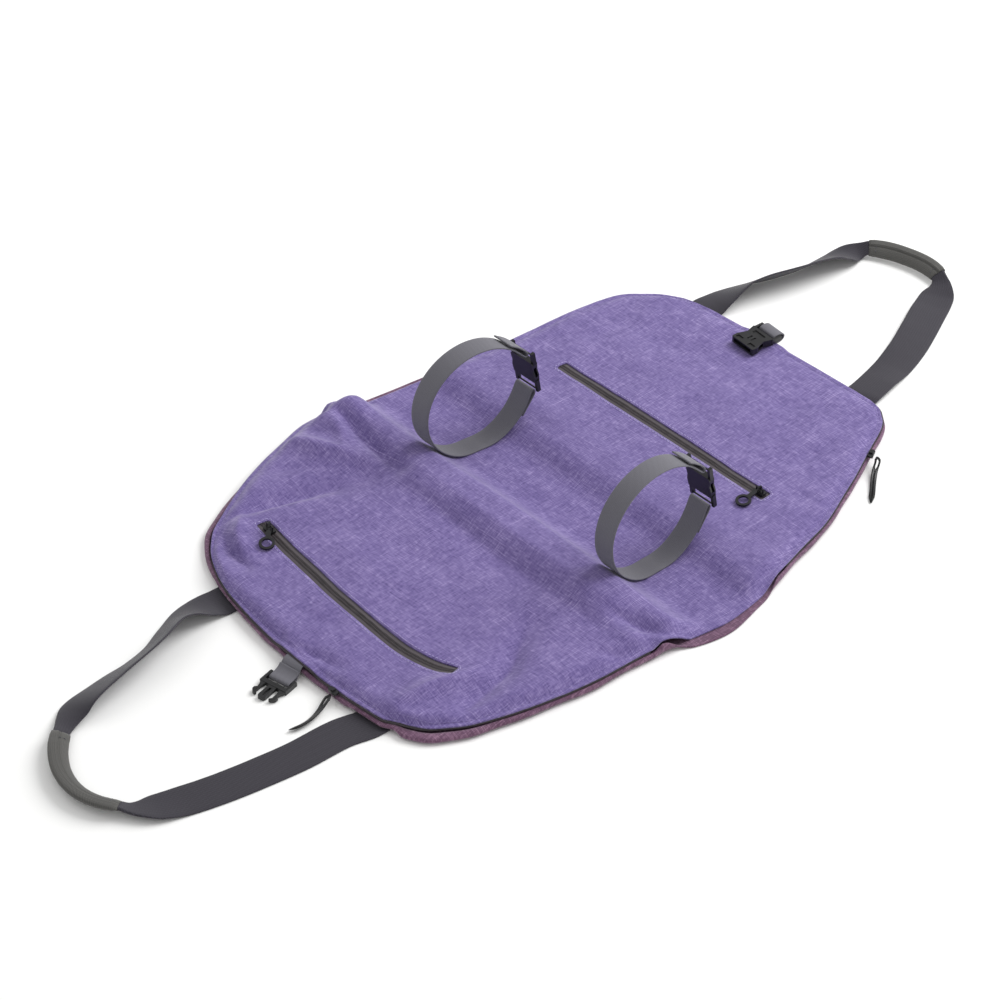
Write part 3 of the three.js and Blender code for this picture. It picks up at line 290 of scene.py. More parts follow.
def addNode(material, kind, settings, links):
    made = material.node_tree.nodes.new("ShaderNode" + kind)
    for name, value in settings.items():
        if name == "stops":
            ramp = made.color_ramp
            ramp.elements.remove(ramp.elements[-1])
            ramp.elements[0].position = value[0][0]
            ramp.elements[0].color = linear(value[0][1])
            for place, colour in value[1:]:
                ramp.elements.new(place).color = linear(colour)
        else:
            setattr(made, name, value)
    for socket, value in links.items():
        if isinstance(value, bpy.types.NodeSocket):
            material.node_tree.links.new(value, made.inputs[socket])
        else:
            made.inputs[socket].default_value = value
    return made


def startMaterial(name, roughness, sheen=0.0):
    material = bpy.data.materials.new(name)
    material.use_nodes = True
    shader = material.node_tree.nodes["Principled BSDF"]
    shader.inputs["Roughness"].default_value = roughness
    if sheen:
        shader.inputs["Sheen Weight"].default_value = sheen
        shader.inputs["Sheen Roughness"].default_value = 0.45
    return material, shader


def dressed(material, shader, stops, shade, height=None, relief=0.0, deepMm=0.0):
    # shade picks the colour among the stops, height raises the surface
    links = material.node_tree.links
    colour = addNode(material, "ValToRGB", {"stops": stops}, {"Fac": shade})
    links.new(colour.outputs["Color"], shader.inputs["Base Color"])
    if height is not None:
        bump = {"Height": height, "Strength": relief, "Distance": deepMm * mm}
        raised = addNode(material, "Bump", {}, bump)
        links.new(raised.outputs["Normal"], shader.inputs["Normal"])
    return material


def canvas(name, stops, threadMm=0.8, slubMm=8.5, paleMm=71.4, relief=0.3):
    # Woven canvas of mixed yarns: lighter and darker slubs run both ways, matte with a soft sheen.
    # Real threads are 0.6 mm apart, too fine to show, so the weave is drawn at 0.8 mm.
    material, shader = startMaterial(name, 0.86, 0.25)
    place = addNode(material, "TexCoord", {}, {}).outputs["Object"]
    thick, long, far = 1 / (threadMm * mm), 1 / (slubMm * mm), 1 / (paleMm * mm)
    yarns = []
    for side, seed, detail in ((long, 0.0, 2.0), (long, 40.0, 2.0), (far, 80.0, 0.0), (far, 120.0, 0.0)):
        scale = (side, thick, side) if len(yarns) % 2 else (thick, side, side)
        moved = {"Vector": place, "Scale": scale, "Location": (seed, seed, 0)}
        turned = addNode(material, "Mapping", {}, moved).outputs["Vector"]
        settings = {"Vector": turned, "Scale": 1.0, "Detail": detail, "Roughness": 0.6}
        yarns.append(addNode(material, "TexNoise", {}, settings).outputs["Fac"])
    both = addNode(material, "Math", {"operation": "ADD"}, {0: yarns[0], 1: yarns[1]}).outputs[0]
    for strand in yarns[2:]:  # a few long pale threads
        picked = {"Value": strand, "From Min": 0.66, "From Max": 0.8, "To Max": 0.2}
        pale = addNode(material, "MapRange", {}, picked).outputs["Result"]
        both = addNode(material, "Math", {"operation": "ADD"}, {0: both, 1: pale}).outputs[0]
    cloudy = addNode(material, "TexNoise", {}, {"Vector": place, "Scale": 38.0, "Detail": 4.0}).outputs["Fac"]
    value = addNode(material, "Math", {"operation": "MULTIPLY_ADD"}, {0: cloudy, 1: 0.34, 2: both}).outputs[0]
    level = addNode(material, "MapRange", {}, {"Value": value, "From Min": 0.74, "From Max": 1.62})
    return dressed(material, shader, stops, level.outputs["Result"], both, relief, 0.6)


def woven(name, stops, twillMm, ribMm, relief):
    # Webbing or tape: bands of twill run aslant the length, read from the piece's own across and along.
    material, shader = startMaterial(name, 0.8, 0.15)
    thread = addNode(material, "Attribute", {"attribute_name": "thread"}, {}).outputs["Vector"]
    slant = {"Vector": thread, "Scale": 2 * waveLength / twillMm, "Distortion": 0.5, "Detail": 1.0}
    twill = addNode(material, "TexWave", {"bands_direction": "DIAGONAL"}, slant).outputs["Fac"]
    ribs = {"Vector": thread, "Scale": waveLength / ribMm, "Distortion": 0.3, "Detail": 1.0}
    rib = addNode(material, "TexWave", {"bands_direction": "X"}, ribs).outputs["Fac"]
    sumUp = {"operation": "MULTIPLY_ADD"}
    relieved = addNode(material, "Math", sumUp, {0: rib, 1: 0.35, 2: twill}).outputs[0]
    grain = addNode(material, "TexNoise", {}, {"Vector": thread, "Scale": 0.9, "Detail": 3.0}).outputs["Fac"]
    uneven = addNode(material, "Math", sumUp, {0: grain, 1: 1.3, 2: relieved}).outputs[0]
    level = addNode(material, "MapRange", {}, {"Value": uneven, "From Min": 0.5, "From Max": 2.1})
    return dressed(material, shader, stops, level.outputs["Result"], relieved, relief, 0.35)


def moulded(name, stops, roughness, grainMm, relief):
    # Injection moulded plastic: an even dark body, faint grain, glossier in places where hands rub it.
    material, shader = startMaterial(name, roughness)
    place = addNode(material, "TexCoord", {}, {}).outputs["Object"]
    grain = addNode(material, "TexNoise", {}, {"Vector": place, "Scale": 1 / (grainMm * mm), "Detail": 2.0})
    smooth = {"Vector": place, "Scale": 110.0, "Detail": 3.0}
    rubbed = addNode(material, "TexNoise", {}, smooth).outputs["Fac"]
    gloss = {"Value": rubbed, "To Min": roughness - 0.08, "To Max": roughness + 0.1}
    worn = addNode(material, "MapRange", {}, gloss)
    material.node_tree.links.new(worn.outputs["Result"], shader.inputs["Roughness"])
    return dressed(material, shader, stops, rubbed, grain.outputs["Fac"], relief, 0.1)


def spun(name, stops):
    # Polyester sewing thread: a twisted strand with a slight shine.
    material, shader = startMaterial(name, 0.55, 0.1)
    place = addNode(material, "TexCoord", {}, {}).outputs["Object"]
    twist = addNode(material, "TexNoise", {}, {"Vector": place, "Scale": 900.0, "Detail": 1.0})
    return dressed(material, shader, stops, twist.outputs["Fac"])


liningCanvas = canvas("purple melange canvas", [(0.0, "#453672"), (0.5, "#6b5c95"), (1.0, "#9b8cbe")])
shellCanvas = canvas("aubergine melange canvas", [(0.0, "#43273e"), (0.5, "#66455f"), (1.0, "#a07d95")])
charcoal = [(0.0, "#1f1d24"), (0.5, "#2c2932"), (1.0, "#3c3944")]
handleTwill = woven("charcoal twill webbing", charcoal, 2.2, 2.6, 0.35)
paleGrey = [(0.0, "#56555c"), (0.5, "#64636a"), (1.0, "#73727b")]
strapTwill = woven("grey smooth webbing", paleGrey, 1.6, 1.8, 0.2)
warmGrey = [(0.0, "#3d3c3a"), (0.5, "#4d4c4a"), (1.0, "#62615e")]
gripCloth = woven("grey grip cloth", warmGrey, 1.7, 1.7, 0.45)
brownGrey = [(0.0, "#393437"), (0.5, "#4b4548"), (1.0, "#635b5f")]
zipTape = woven("brown grey zip tape", brownGrey, 1.3, 1.3, 0.4)
nylonCoil = moulded("dark nylon coil", [(0.3, "#3a3537"), (0.7, "#4c4649")], 0.45, 0.5, 0.1)
blackPlastic = moulded("black acetal", [(0.3, "#101012"), (0.7, "#18181b")], 0.3, 0.35, 0.12)
softRubber = moulded("soft black vinyl", [(0.3, "#141416"), (0.7, "#1d1d20")], 0.36, 0.6, 0.15)
lilacThread = spun("lilac sewing thread", [(0.3, "#9d92c6"), (0.7, "#c4bbe4")])
purpleThread = spun("purple sewing thread", [(0.3, "#6f619a"), (0.7, "#9183b6")])
greyThread = spun("grey sewing thread", [(0.3, "#3a3940"), (0.7, "#55545d")])
print("materials made")


# Lining and shell: one plan shape, two cloths

outline = [  # y, left edge, right edge
    (-342, -112, 125), (-336, -134, 134), (-329, -152, 148), (-319, -170, 164), (-307, -184, 174),
    (-292, -197, 185), (-275, -206, 193), (-250, -219, 202), (-217, -235, 211), (-185, -247, 218),
    (-150, -257, 223), (-110, -266, 226), (-70, -264, 231), (-30, -257, 239), (0, -252, 243),
    (40, -246, 240), (80, -238, 231), (127, -229, 220), (167, -225, 211), (216, -221, 192),
    (250, -216, 178), (281, -209, 163), (297, -202, 155), (312, -190, 148), (325, -178, 140),
    (334, -165, 130), (341, -149, 120), (345, -122, 104),
]
wingEnds = {
    -1: {"start": 250, "end": 342, "skew": -0.035, "bow": -10},
    1: {"start": 250, "end": 345, "skew": 0.04, "bow": 2},
}
acrossHeights = [  # y, height of the lining's middle
    (-352, 17), (-300, 18), (-200, 19), (-130, 19), (-117, 20), (-107, 23.5), (-97, 28), (-84, 30.5),
    (-70, 31), (-59, 29), (-50, 21.5), (-40, 12), (-29, 5), (-19, baseLevel), (19, baseLevel), (32, 4.6),
    (46, 11), (60, 15.5), (78, 16.5), (100, 14.8), (140, 13.6), (250, 13.2), (352, 12.8),
]
ridge = {"y": -72, "spread": 26}
ridgeLifts = [  # x, how much the left ridge stands up or sinks
    (-270, 9), (-240, 6), (-205, 0), (-110, -2), (0, 0), (120, 0), (200, -5), (245, -11),
]
folds = [  # from, past, to, height above or below the cloth, spread
    ((-188, -298), (-187, -222), (-148, -132), -5, 15),
    ((-252, -148), (-212, -134), (-170, -114), 7, 15),
    ((-252, -84), (-195, -90), (-135, -96), -8, 11),
    ((-184, -286), (-158, -300), (-128, -305), -6, 11),
    ((-196, -250), (-170, -286), (-134, -297), 4, 12),
    ((128, -160), (160, -222), (171, -290), -5, 13),
    ((122, -325), (130, -288), (146, -246), 4, 13),
    ((178, -92), (208, -84), (230, -70), -7, 12),
    ((-4, -352), (12, -340), (44, -333), -4, 9),
    ((-72, 316), (-40, 322), (-8, 330), -1.6, 14),
    ((-60, 215), (10, 235), (80, 215), 1.6, 34),
]
creases = [  # the same columns, for the sharp lines in and beside those folds
    ((-196, -272), (-192, -244), (-160, -162), -5.0, 7),
    ((-182, -262), (-176, -230), (-148, -170), 3.0, 7),
    ((-252, -150), (-212, -133), (-168, -113), 5.5, 8),
    ((-246, -83), (-195, -89), (-132, -97), -7.0, 7),
    ((-238, -93), (-216, -104), (-192, -119), 4.5, 5),
    ((-184, -288), (-156, -299), (-126, -304), -5.5, 6),
    ((-194, -254), (-166, -284), (-136, -300), 4.0, 6),
    ((126, -166), (155, -214), (172, -286), -6.0, 8),
    ((124, -322), (130, -290), (143, -246), 4.5, 8),
    ((178, -92), (204, -84), (228, -70), -6.0, 7),
    ((198, -142), (214, -126), (230, -109), -3.5, 5),
    ((0, -352), (12, -341), (46, -334), -2.6, 5),
    ((-148, -82), (40, -88), (186, -84), 3.2, 9),
    ((-140, -106), (30, -112), (176, -112), -3.0, 9),
    ((-120, -60), (30, -54), (170, -58), 1.6, 8),
    ((-222, -232), (-214, -262), (-196, -286), -3.0, 6),
    ((-230, -200), (-214, -176), (-196, -160), -2.5, 8),
    ((-70, -160), (-20, -172), (40, -166), -0.9, 9),
    ((-110, -208), (-60, -218), (0, -214), 0.9, 10),
    ((60, -190), (84, -214), (96, -236), -1.0, 7),
    ((-60, -318), (-30, -306), (20, -300), -1.0, 8),
    ((-150, 250), (-90, 262), (-40, 296), -0.9, 8),
    ((20, 262), (60, 280), (92, 312), -1.0, 8),
    ((-200, 180), (-170, 214), (-160, 262), -1.2, 9),
    ((110, 186), (128, 222), (128, 262), -1.1, 9),
    ((-190, 88), (-150, 96), (-80, 92), 1.2, 9),
    ((70, 92), (130, 98), (190, 112), 1.1, 9),
]
liningShape = {
    "edgeRoll": 24,  # how far in from the edge it rounds off
    "dipMost": 3,  # how far a valley may reach below the edge's own height
    "foldTaper": (0.45, 0.55),  # share of a fold's height at its ends, and what its middle adds
    "wingRise": (48, 32),  # from, over
    "crest": {"level": 19, "share": 0.5, "end": -92, "fade": 12, "ridgeShare": 0.6, "spread": 30},
    "tabLift": {"high": 2.4, "half": 21, "fade": 13, "from": 300},
    "calm": [(-151, -253, 26), (135, 152, 22), (-42, 332, 40), (6, -345, 26)],  # x, y, reach of what rests
    "ruffles": [(62, 48, 3.7, 1.7), (24, 19, 8.1, 0.6), (8.5, 8.5, 1.3, 0.16)],  # grain x, y, seed, height
    "ruffleFade": {"from": 44, "reach": 30, "inset": 14},
    "seam": {"inset": 5.5, "spread": 1.8, "deep": 0.8},
    "puckers": {"inset": 9, "spread": 7, "high": 0.9, "grain": 7},
    "rowSteps": [(322, 1.3), (296, 2.4), (-1, 3.7)],  # past this distance from the middle, step between rows
    "halfColumns": 66,
    "crowding": 0.45,  # how much closer the columns lie near the sides
}
handleRoots = [(112, -1), (-117, -1), (86, 1), (-133, 1)]  # x, side
tabs = {-1: 6, 1: -42}  # x of each closure tab
edgeZipFrom = 92

leftEdge = through(outline, 1)
rightEdge = through(outline, 2)
acrossHeight = through(acrossHeights, 1)
ridgeLift = through(ridgeLifts, 1)


def planPoint(share, row):
    # share runs from -1 at the left edge to 1 at the right edge
    x = mix(leftEdge(row), rightEdge(row), (share + 1) / 2)
    end = wingEnds[-1 if row < 0 else 1]
    grow = ease((abs(row) - end["start"]) / (end["end"] - end["start"]))
    return x, row + grow * (end["skew"] * x + end["bow"] * (1 - share * share))


def rowOf(x, y):
    row = y
    for _ in range(6):
        left, right = leftEdge(row), rightEdge(row)
        share = limited(2 * (x - left) / (right - left) - 1, -1, 1)
        row += y - planPoint(share, row)[1]
    return row


def crisp(distance, spread):
    # a crest or valley that comes almost to an edge
    return exp((1.2 - hypot(distance, 1.2)) / spread)


def foldSum(x, y, rows, profile):
    total = 0.0
    least, more = liningShape["foldTaper"]
    for start, past, end, height, spread in rows:
        nearest, share = 1e9, 0.0
        for leg, (a, b) in enumerate(((start, past), (past, end))):
            dx, dy = b[0] - a[0], b[1] - a[1]
            t = limited(((x - a[0]) * dx + (y - a[1]) * dy) / (dx * dx + dy * dy), 0, 1)
            distance = hypot(x - a[0] - t * dx, y - a[1] - t * dy)
            if distance < nearest:
                nearest, share = distance, (leg + t) / 2
        if nearest < 5 * spread:
            total += height * (least + more * sin(pi * share)) * profile(nearest, spread)
    return total


def wingShare(y):
    start, over = liningShape["wingRise"]
    return ease((abs(y) - start) / over)


def edgeHeight(x, row):
    # the left wing's edge stands up where the ridge meets it
    crest = liningShape["crest"]
    lifted = crest["share"] * (acrossHeight(row) - crest["level"]) if row < 0 else 0
    near = ease((row - crest["end"]) / crest["fade"]) if row < -40 else 0
    peak = crest["ridgeShare"] * max(0, ridgeLift(x)) * hump(row - ridge["y"], crest["spread"])
    return mix(baseLevel, edgeLevel, wingShare(row)) + near * (max(0, lifted) + peak)


def tabBump(x, y):
    lift = liningShape["tabLift"]
    if abs(y) <= lift["from"]:
        return 0
    away = abs(x - tabs[-1 if y < 0 else 1])
    return lift["high"] * (1 - ease((away - lift["half"]) / lift["fade"]))


def ruffle(x, y, inside):
    # soft unevenness of the slack cloth, least where something rests on it and at the base
    fade = liningShape["ruffleFade"]
    still = ease((abs(y) - fade["from"]) / fade["reach"]) * ease(inside / fade["inset"])
    for cx, cy, reach in liningShape["calm"]:
        still *= ease((hypot(x - cx, y - cy) - reach * 0.5) / reach)
    waves = [noise.noise(Vector((x / a, y / b, seed))) * high for a, b, seed, high in liningShape["ruffles"]]
    return still * sum(waves)


def liningHeight(x, y, row=None):
    row = rowOf(x, y) if row is None else row
    side = min(x - leftEdge(row), rightEdge(row) - x)
    end = wingEnds[-1 if row < 0 else 1]["end"] - abs(row)
    roll, seamLine, puckers = [liningShape[k] for k in ("edgeRoll", "seam", "puckers")]
    fromSide = sin(pi / 2 * ease(side / roll))
    fromEnd = sin(pi / 2 * ease(end / roll))
    inside = min(side, end)
    inner = acrossHeight(row) + ridgeLift(x) * hump(y - ridge["y"], ridge["spread"])
    inner += foldSum(x, y, folds, hump) + foldSum(x, y, creases, crisp) + ruffle(x, y, inside)
    low = edgeHeight(x, row)
    lift = tabBump(x, y) * (1 - ease(end / roll))
    grain = noise.noise(Vector((x / puckers["grain"], y / puckers["grain"], 5.5)))
    pucker = grain * puckers["high"] * hump(inside - puckers["inset"], puckers["spread"])
    seam = -seamLine["deep"] * hump(inside - seamLine["inset"], seamLine["spread"]) + pucker
    body = mix(low, max(inner, low - liningShape["dipMost"]), fromSide * fromEnd)
    return max(baseLevel, body + lift + seam * wingShare(row))


def netRows():
    rows, at = [], float(outline[0][0])
    while at < outline[-1][0]:
        rows.append(at)
        at += next(step for past, step in liningShape["rowSteps"] if abs(at) > past)
    return rows + [float(outline[-1][0])]


half = liningShape["halfColumns"]
evenShares = [i / half - 1 for i in range(2 * half + 1)]
liningShares = [mix(share, sin(pi / 2 * share), liningShape["crowding"]) for share in evenShares]
liningGrid = []
for row in netRows():
    line = []
    for share in liningShares:
        x, y = planPoint(share, row)
        line.append(Vector((x, y, liningHeight(x, y, row))))
    liningGrid.append(line)
print("lining shaped", len(liningGrid) * len(liningShares))


# Windows of the two pocket zips, cut through the lining

pocket = {
    "left": [
        (-166, -251), (-126, -257), (-80, -262), (-35, -268), (6, -271), (44, -273), (80, -272), (110, -267),
        (131, -260),
    ],
    "right": [(-155, 151), (-80, 151.5), (0, 152), (80, 152), (144, 152)],
    "half": 7.2,
    "tapeHidden": 3.5,
    "corner": 2.5,
    "spacing": 3.0,
}


def pocketLine(side):
    points = [Vector((x, y, 0)) for x, y in pocket[side]]
    dense = [splinePoint(points, i / 200) for i in range(201)]
    return resampled(dense, pocket["spacing"])


def windowLoop(side, grow=0.0):
    # outline of a window in plan, anticlockwise, its corners rounded
    line = pocketLine(side)
    half, corner = pocket["half"] + grow, pocket["corner"] + max(0, grow)
    start, end = line[0], line[-1]
    first, last = (line[1] - line[0]).normalized(), (line[-1] - line[-2]).normalized()
    across = lambda t: Vector((-t.y, t.x, 0))
    right, left = [], []
    for i, at in enumerate(line):
        t = directionAt(line, i)
        right.append(at - across(t) * half)
        left.append(at + across(t) * half)

    def roundedEnd(at, alongDir):
        arcs = []
        for sideDir in (-across(alongDir), across(alongDir)):
            middle = at + sideDir * half - alongDir * corner - sideDir * corner
            turns = [pi / 2 * k / 4 for k in range(5)]
            arcs.append([middle + (alongDir * sin(a) + sideDir * cos(a)) * corner for a in turns])
        return arcs[0] + arcs[1][::-1]

    loop = right[1:-1] + roundedEnd(end + last * grow, last)
    return loop + left[1:-1][::-1] + roundedEnd(start - first * grow, -first)


def cutter(loop, low, high):
    # an upright block by its outline in plan
    points, faces = skinned([[Vector((p.x, p.y, z)) for p in loop] for z in (low, high)])
    data = bpy.data.meshes.new("cutter")
    data.from_pydata([tuple(p * mm) for p in points], [], faces)
    return addObject("cutter", data)


def cutAway(piece, tools):
    for tool in tools:
        opening = piece.modifiers.new("opening", "BOOLEAN")
        opening.operation, opening.solver, opening.object = "DIFFERENCE", "EXACT", tool
    applyModifiers(piece)
    for tool in tools:
        bpy.data.objects.remove(tool)


points, faces = layered(liningGrid, -cloth / 2, cloth / 2)
lining = addPiece("lining_cloth", points, faces, liningCanvas)
cutAway(lining, [cutter(windowLoop(side), -20, 60) for side in sides])
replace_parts(lining, "lining")
print("lining cut", len(lining.data.polygons))


# Outer shell: a flat floor whose edge curls up round both wings

shellEdge = [  # step, out and up where it curls, out and up at the base, bulge, lift over webbing
    (0, -8, 0.75, -8, 0.75, 0, 1),
    (1, -1.5, 1.3, -1.5, 0.8, 0.6, 1),
    (2, 2.2, 3.4, 1.2, 0.95, 1, 0.6),
    (3, 2.4, 5.6, 3, 1.15, 0.9, 0.2),
    (4, 0.4, 7.4, 4.6, 1.5, 0.3, 0),
]
shellShape = {
    "swells": [(-206, -292, 6, 52), (158, -322, 8.5, 66)],  # x, y, how far out, spread
    "ruffle": {"grain": 36, "high": 1.6},
    "lipDrag": {"y": -22, "share": 1.7, "spread": 44},  # the lip spreads where the wing drags it out
    "root": {"lift": 3.1, "half": 23, "fade": 12, "from": 290, "flatten": 0.6},  # over the webbing
    "wallFoot": 3.4,
    "floorScales": (0.02, 0.2, 0.4, 0.6, 0.78),
    "floorInset": 22,
    "edgeRings": 13,
}
edgeColumns = [through(shellEdge, k) for k in range(1, 7)]


def rimLine(spacing):
    # the plan outline, once round, anticlockwise from the left wing's end
    shares = [i / 40 - 1 for i in range(81)]
    rows = netRows()
    loop = [planPoint(s, rows[0]) for s in shares]
    loop += [planPoint(1, r) for r in rows[1:]]
    loop += [planPoint(s, rows[-1]) for s in shares[-2::-1]]
    loop += [planPoint(-1, r) for r in rows[-2:0:-1]]
    return resampled([Vector((x, y, 0)) for x, y in loop], spacing, closed=True)


def outwards(loop):
    made = []
    for i in range(len(loop)):
        along = loop[(i + 1) % len(loop)] - loop[i - 1]
        made.append(Vector((along.y, -along.x, 0)).normalized())
    return made


def shellPoint(at, out, step):
    curledOut, curledUp, lipOut, lipUp, bulge, lift = [column(step) for column in edgeColumns]
    share = wingShare(at.y)
    ruffled, lipDrag, root = [shellShape[k] for k in ("ruffle", "lipDrag", "root")]
    grain = ruffled["grain"]
    swell = noise.noise(Vector((at.x / grain, at.y / grain, 2.2))) * ruffled["high"]
    for x, y, high, spread in shellShape["swells"]:
        swell += high * hump(hypot(at.x - x, at.y - y), spread)
    under = 0.0  # 1 where webbing passes under the rim
    for x, side in handleRoots:
        if side * at.y > root["from"]:
            under = max(under, 1 - ease((abs(at.x - x) - root["half"]) / root["fade"]))
    if at.x > 0 and lipOut > 0:
        lipOut *= 1 + lipDrag["share"] * hump(at.y - lipDrag["y"], lipDrag["spread"])
    away = mix(lipOut, curledOut + bulge * swell * (1 - root["flatten"] * under), share)
    taller = max(0, (edgeHeight(at.x, at.y) - edgeLevel) / (edgeLevel - shellShape["wallFoot"] - floorLevel))
    up = mix(lipUp, floorLevel + (curledUp - floorLevel) * (1 + taller), share) + root["lift"] * under * lift
    return Vector((at.x + out.x * away, at.y + out.y * away, up))


def makeShell():
    rim = rimLine(4.0)
    out = outwards(rim)
    rings = []
    for scale in shellShape["floorScales"]:
        rings.append([Vector((p.x * scale, p.y * scale, floorLevel)) for p in rim])
    inset = shellShape["floorInset"]
    rings.append([Vector((p.x - o.x * inset, p.y - o.y * inset, floorLevel)) for p, o in zip(rim, out)])
    rings += [[shellPoint(p, o, k / 3) for p, o in zip(rim, out)] for k in range(shellShape["edgeRings"])]
    closedRings = [ring + ring[:1] for ring in rings]
    points, faces = layered([list(line) for line in zip(*closedRings)], cloth / 2, -cloth / 2)
    shell = addPiece("shell_cloth", points, faces, shellCanvas)
    reworked(shell.data, lambda shape: bmesh.ops.remove_doubles(shape, verts=shape.verts, dist=0.02 * mm))
    return shell


shell = makeShell()
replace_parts(shell, "outer_shell")
print("shell made")


# Zips: woven tape and nylon coil

zipSizes = {
    "pitch": 1.7,
    "coilAt": 1.55,
    "pocketTooth": (1.25, 2.7, 1.0),  # along, across, high
    "edgeTooth": (1.0, 1.5, 1.2),
    "tapeRise": {"high": 0.75, "half": 6.9, "fade": 1.2, "lineAt": 4.6, "lineDeep": 0.15},
    "edgeOut": 1.3,
    "edgeIn": -8.0,
    "shownFrom": (318, 16),  # the tape shows most at the wing's end: from, over
    "spacing": 3.0,
}
toothCorners = [(-1, -1, 0), (1, -1, 0), (1, 1, 0), (-1, 1, 0)]
toothCorners += [(0.55 * a, 0.7 * b, 1) for a, b, c in toothCorners]
toothFaces = [(0, 3, 2, 1), (4, 5, 6, 7), (0, 1, 5, 4), (1, 2, 6, 5), (2, 3, 7, 6), (3, 0, 4, 7)]
upward = Vector((0, 0, 1))


def lozenge(points, faces, centre, alongDir, acrossDir, sizes):
    # one tooth: a small pillow, longest across the zip
    a, b, c = alongDir * sizes[0] / 2, acrossDir * sizes[1] / 2, upward * sizes[2]
    join(points, faces, [centre + a * s + b * t + c * u for s, t, u in toothCorners], toothFaces)


def addZip(kind, side, grid, threads, teeth, teethFaces):
    # a tape and the coil along it
    points, faces = layered(grid, tape / 2, -tape / 2)
    strip = addPiece(kind + "_tape_" + side, points, faces, zipTape, threads=threads * 2)
    coil = addPiece(kind + "_coil_" + side, teeth, teethFaces, nylonCoil)
    addSharp(coil, 70)
    return strip


def pocketZip(side):
    line = pocketLine(side)
    first, last = (line[0] - line[1]).normalized(), (line[-1] - line[-2]).normalized()
    hidden, rise = pocket["tapeHidden"], zipSizes["tapeRise"]
    line = [line[0] + first * hidden] + line + [line[-1] + last * hidden]
    across = [0, 1.4, 2.4, 3.2, 4.6, 6.2, 7.4, 8.6, pocket["half"] + hidden]
    across = [-a for a in across[:0:-1]] + across
    grid, threads, run = [], [], 0.0
    for i, at in enumerate(line):
        t = directionAt(line, i)
        sideways = Vector((t.y, -t.x, 0))
        run += (at - line[i - 1]).length if i else 0
        row = []
        for a in across:
            p = at + sideways * a
            middle = ease((rise["half"] - abs(a)) / rise["fade"])
            raised = rise["high"] * middle * ease(i / 2) * ease((len(line) - 1 - i) / 2)
            raised -= rise["lineDeep"] * hump(abs(a) - rise["lineAt"], rise["fade"])
            p.z = liningHeight(p.x, p.y) - cloth / 2 - gap - tape / 2 + raised
            row.append(p)
            threads.append((a, run))
        grid.append(row)
    teeth, teethFaces = [], []
    for at, t in alongLine(line, zipSizes["pitch"]):
        sideways = Vector((t.y, -t.x, 0))
        for k in (-1, 1):
            p = at + sideways * k * zipSizes["coilAt"] + t * (0.42 * k)
            p.z = liningHeight(p.x, p.y) - 0.4
            lozenge(teeth, teethFaces, p, t, sideways, zipSizes["pocketTooth"])
    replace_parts(addZip("zip", side, grid, threads, teeth, teethFaces), "pocket_zip_" + side)


def alongLine(line, spacing):
    # places and directions at even spacing, short of both ends
    places = resampled(line, spacing)
    for i in range(2, len(places) - 2):
        yield places[i], (places[i + 1] - places[i - 1]).normalized()


def wingRun(side, past):
    # places and outward directions of the rim round one wing, in order
    loop = rimLine(zipSizes["spacing"])
    kept = [i for i in range(len(loop)) if side * loop[i].y > past]
    start = next(k for k in range(len(kept)) if (kept[k] - kept[k - 1]) % len(loop) != 1)
    out = outwards(loop)
    return [(loop[i], out[i]) for i in kept[start:] + kept[:start]]


def edgeZip(side, name):
    rim = wingRun(side, edgeZipFrom)
    grid, threads, run = [], [], 0.0
    teeth, teethFaces = [], []
    for k, (at, away) in enumerate(rim):
        run += zipSizes["spacing"]
        bump = tabBump(at.x, at.y)
        level = edgeHeight(at.x, rowOf(at.x, at.y)) - cloth / 2 - gap - tape / 2 + bump
        shown = ease((abs(at.y) - zipSizes["shownFrom"][0]) / zipSizes["shownFrom"][1])
        edgeOut = mix(0.1, zipSizes["edgeOut"], shown)
        row = []
        for a in (zipSizes["edgeIn"], -5, -3, -2, edgeOut - 0.8, edgeOut):
            row.append(Vector((at.x + away.x * a, at.y + away.y * a, level)))
            threads.append((a, run))
        grid.append(row)
        nextAt = rim[min(k + 1, len(rim) - 1)][0]
        t = Vector((-away.y, away.x, 0))
        for share in (0.25, 0.75):
            p = at.lerp(nextAt, share) + away * (edgeOut - 0.1)
            p.z = level - 0.6
            lozenge(teeth, teethFaces, p, t, away, zipSizes["edgeTooth"])
    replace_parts(addZip("pouch", name, grid, threads, teeth, teethFaces), "edge_zip_" + name)


for side in sides:
    pocketZip(side)
for side, name in zip((-1, 1), sides):
    edgeZip(side, name)
print("zips made")


# Webbing strips and tubes


def stripRing(centre, wideDir, thickDir, wide, thick, rounded=0.9):
    # section of webbing: flat faces, and selvedges rounded by a share of half the thickness
    w, t = wide / 2, thick / 2
    r = min(min(t, w) * rounded, t)
    top = [-w + r, -w * 0.66, -w * 0.33, 0, w * 0.33, w * 0.66, w - r]
    arc = [(w - r + r * sin(q), t - r + r * cos(q)) for q in (0.6, 1.2)]
    ring = [(a, t) for a in top] + arc + [(a, -b) for a, b in arc[::-1]]
    ring += [(-a, -b) for a, b in ring]
    return [centre + wideDir * a + thickDir * b for a, b in ring], [a for a, b in ring]


def addStrip(name, places, material):
    rings, threads, run, before = [], [], 0.0, None
    for place in places:
        ring, across = stripRing(*[place[k] for k in ("centre", "wideDir", "thickDir", "wide", "thick")])
        if before is not None:
            run += (place["centre"] - before).length
        before = place["centre"]
        rings.append(ring)
        threads += [(a, run) for a in across]
    points, faces = skinned(rings)
    return addPiece(name, points, faces, material, threads=threads)


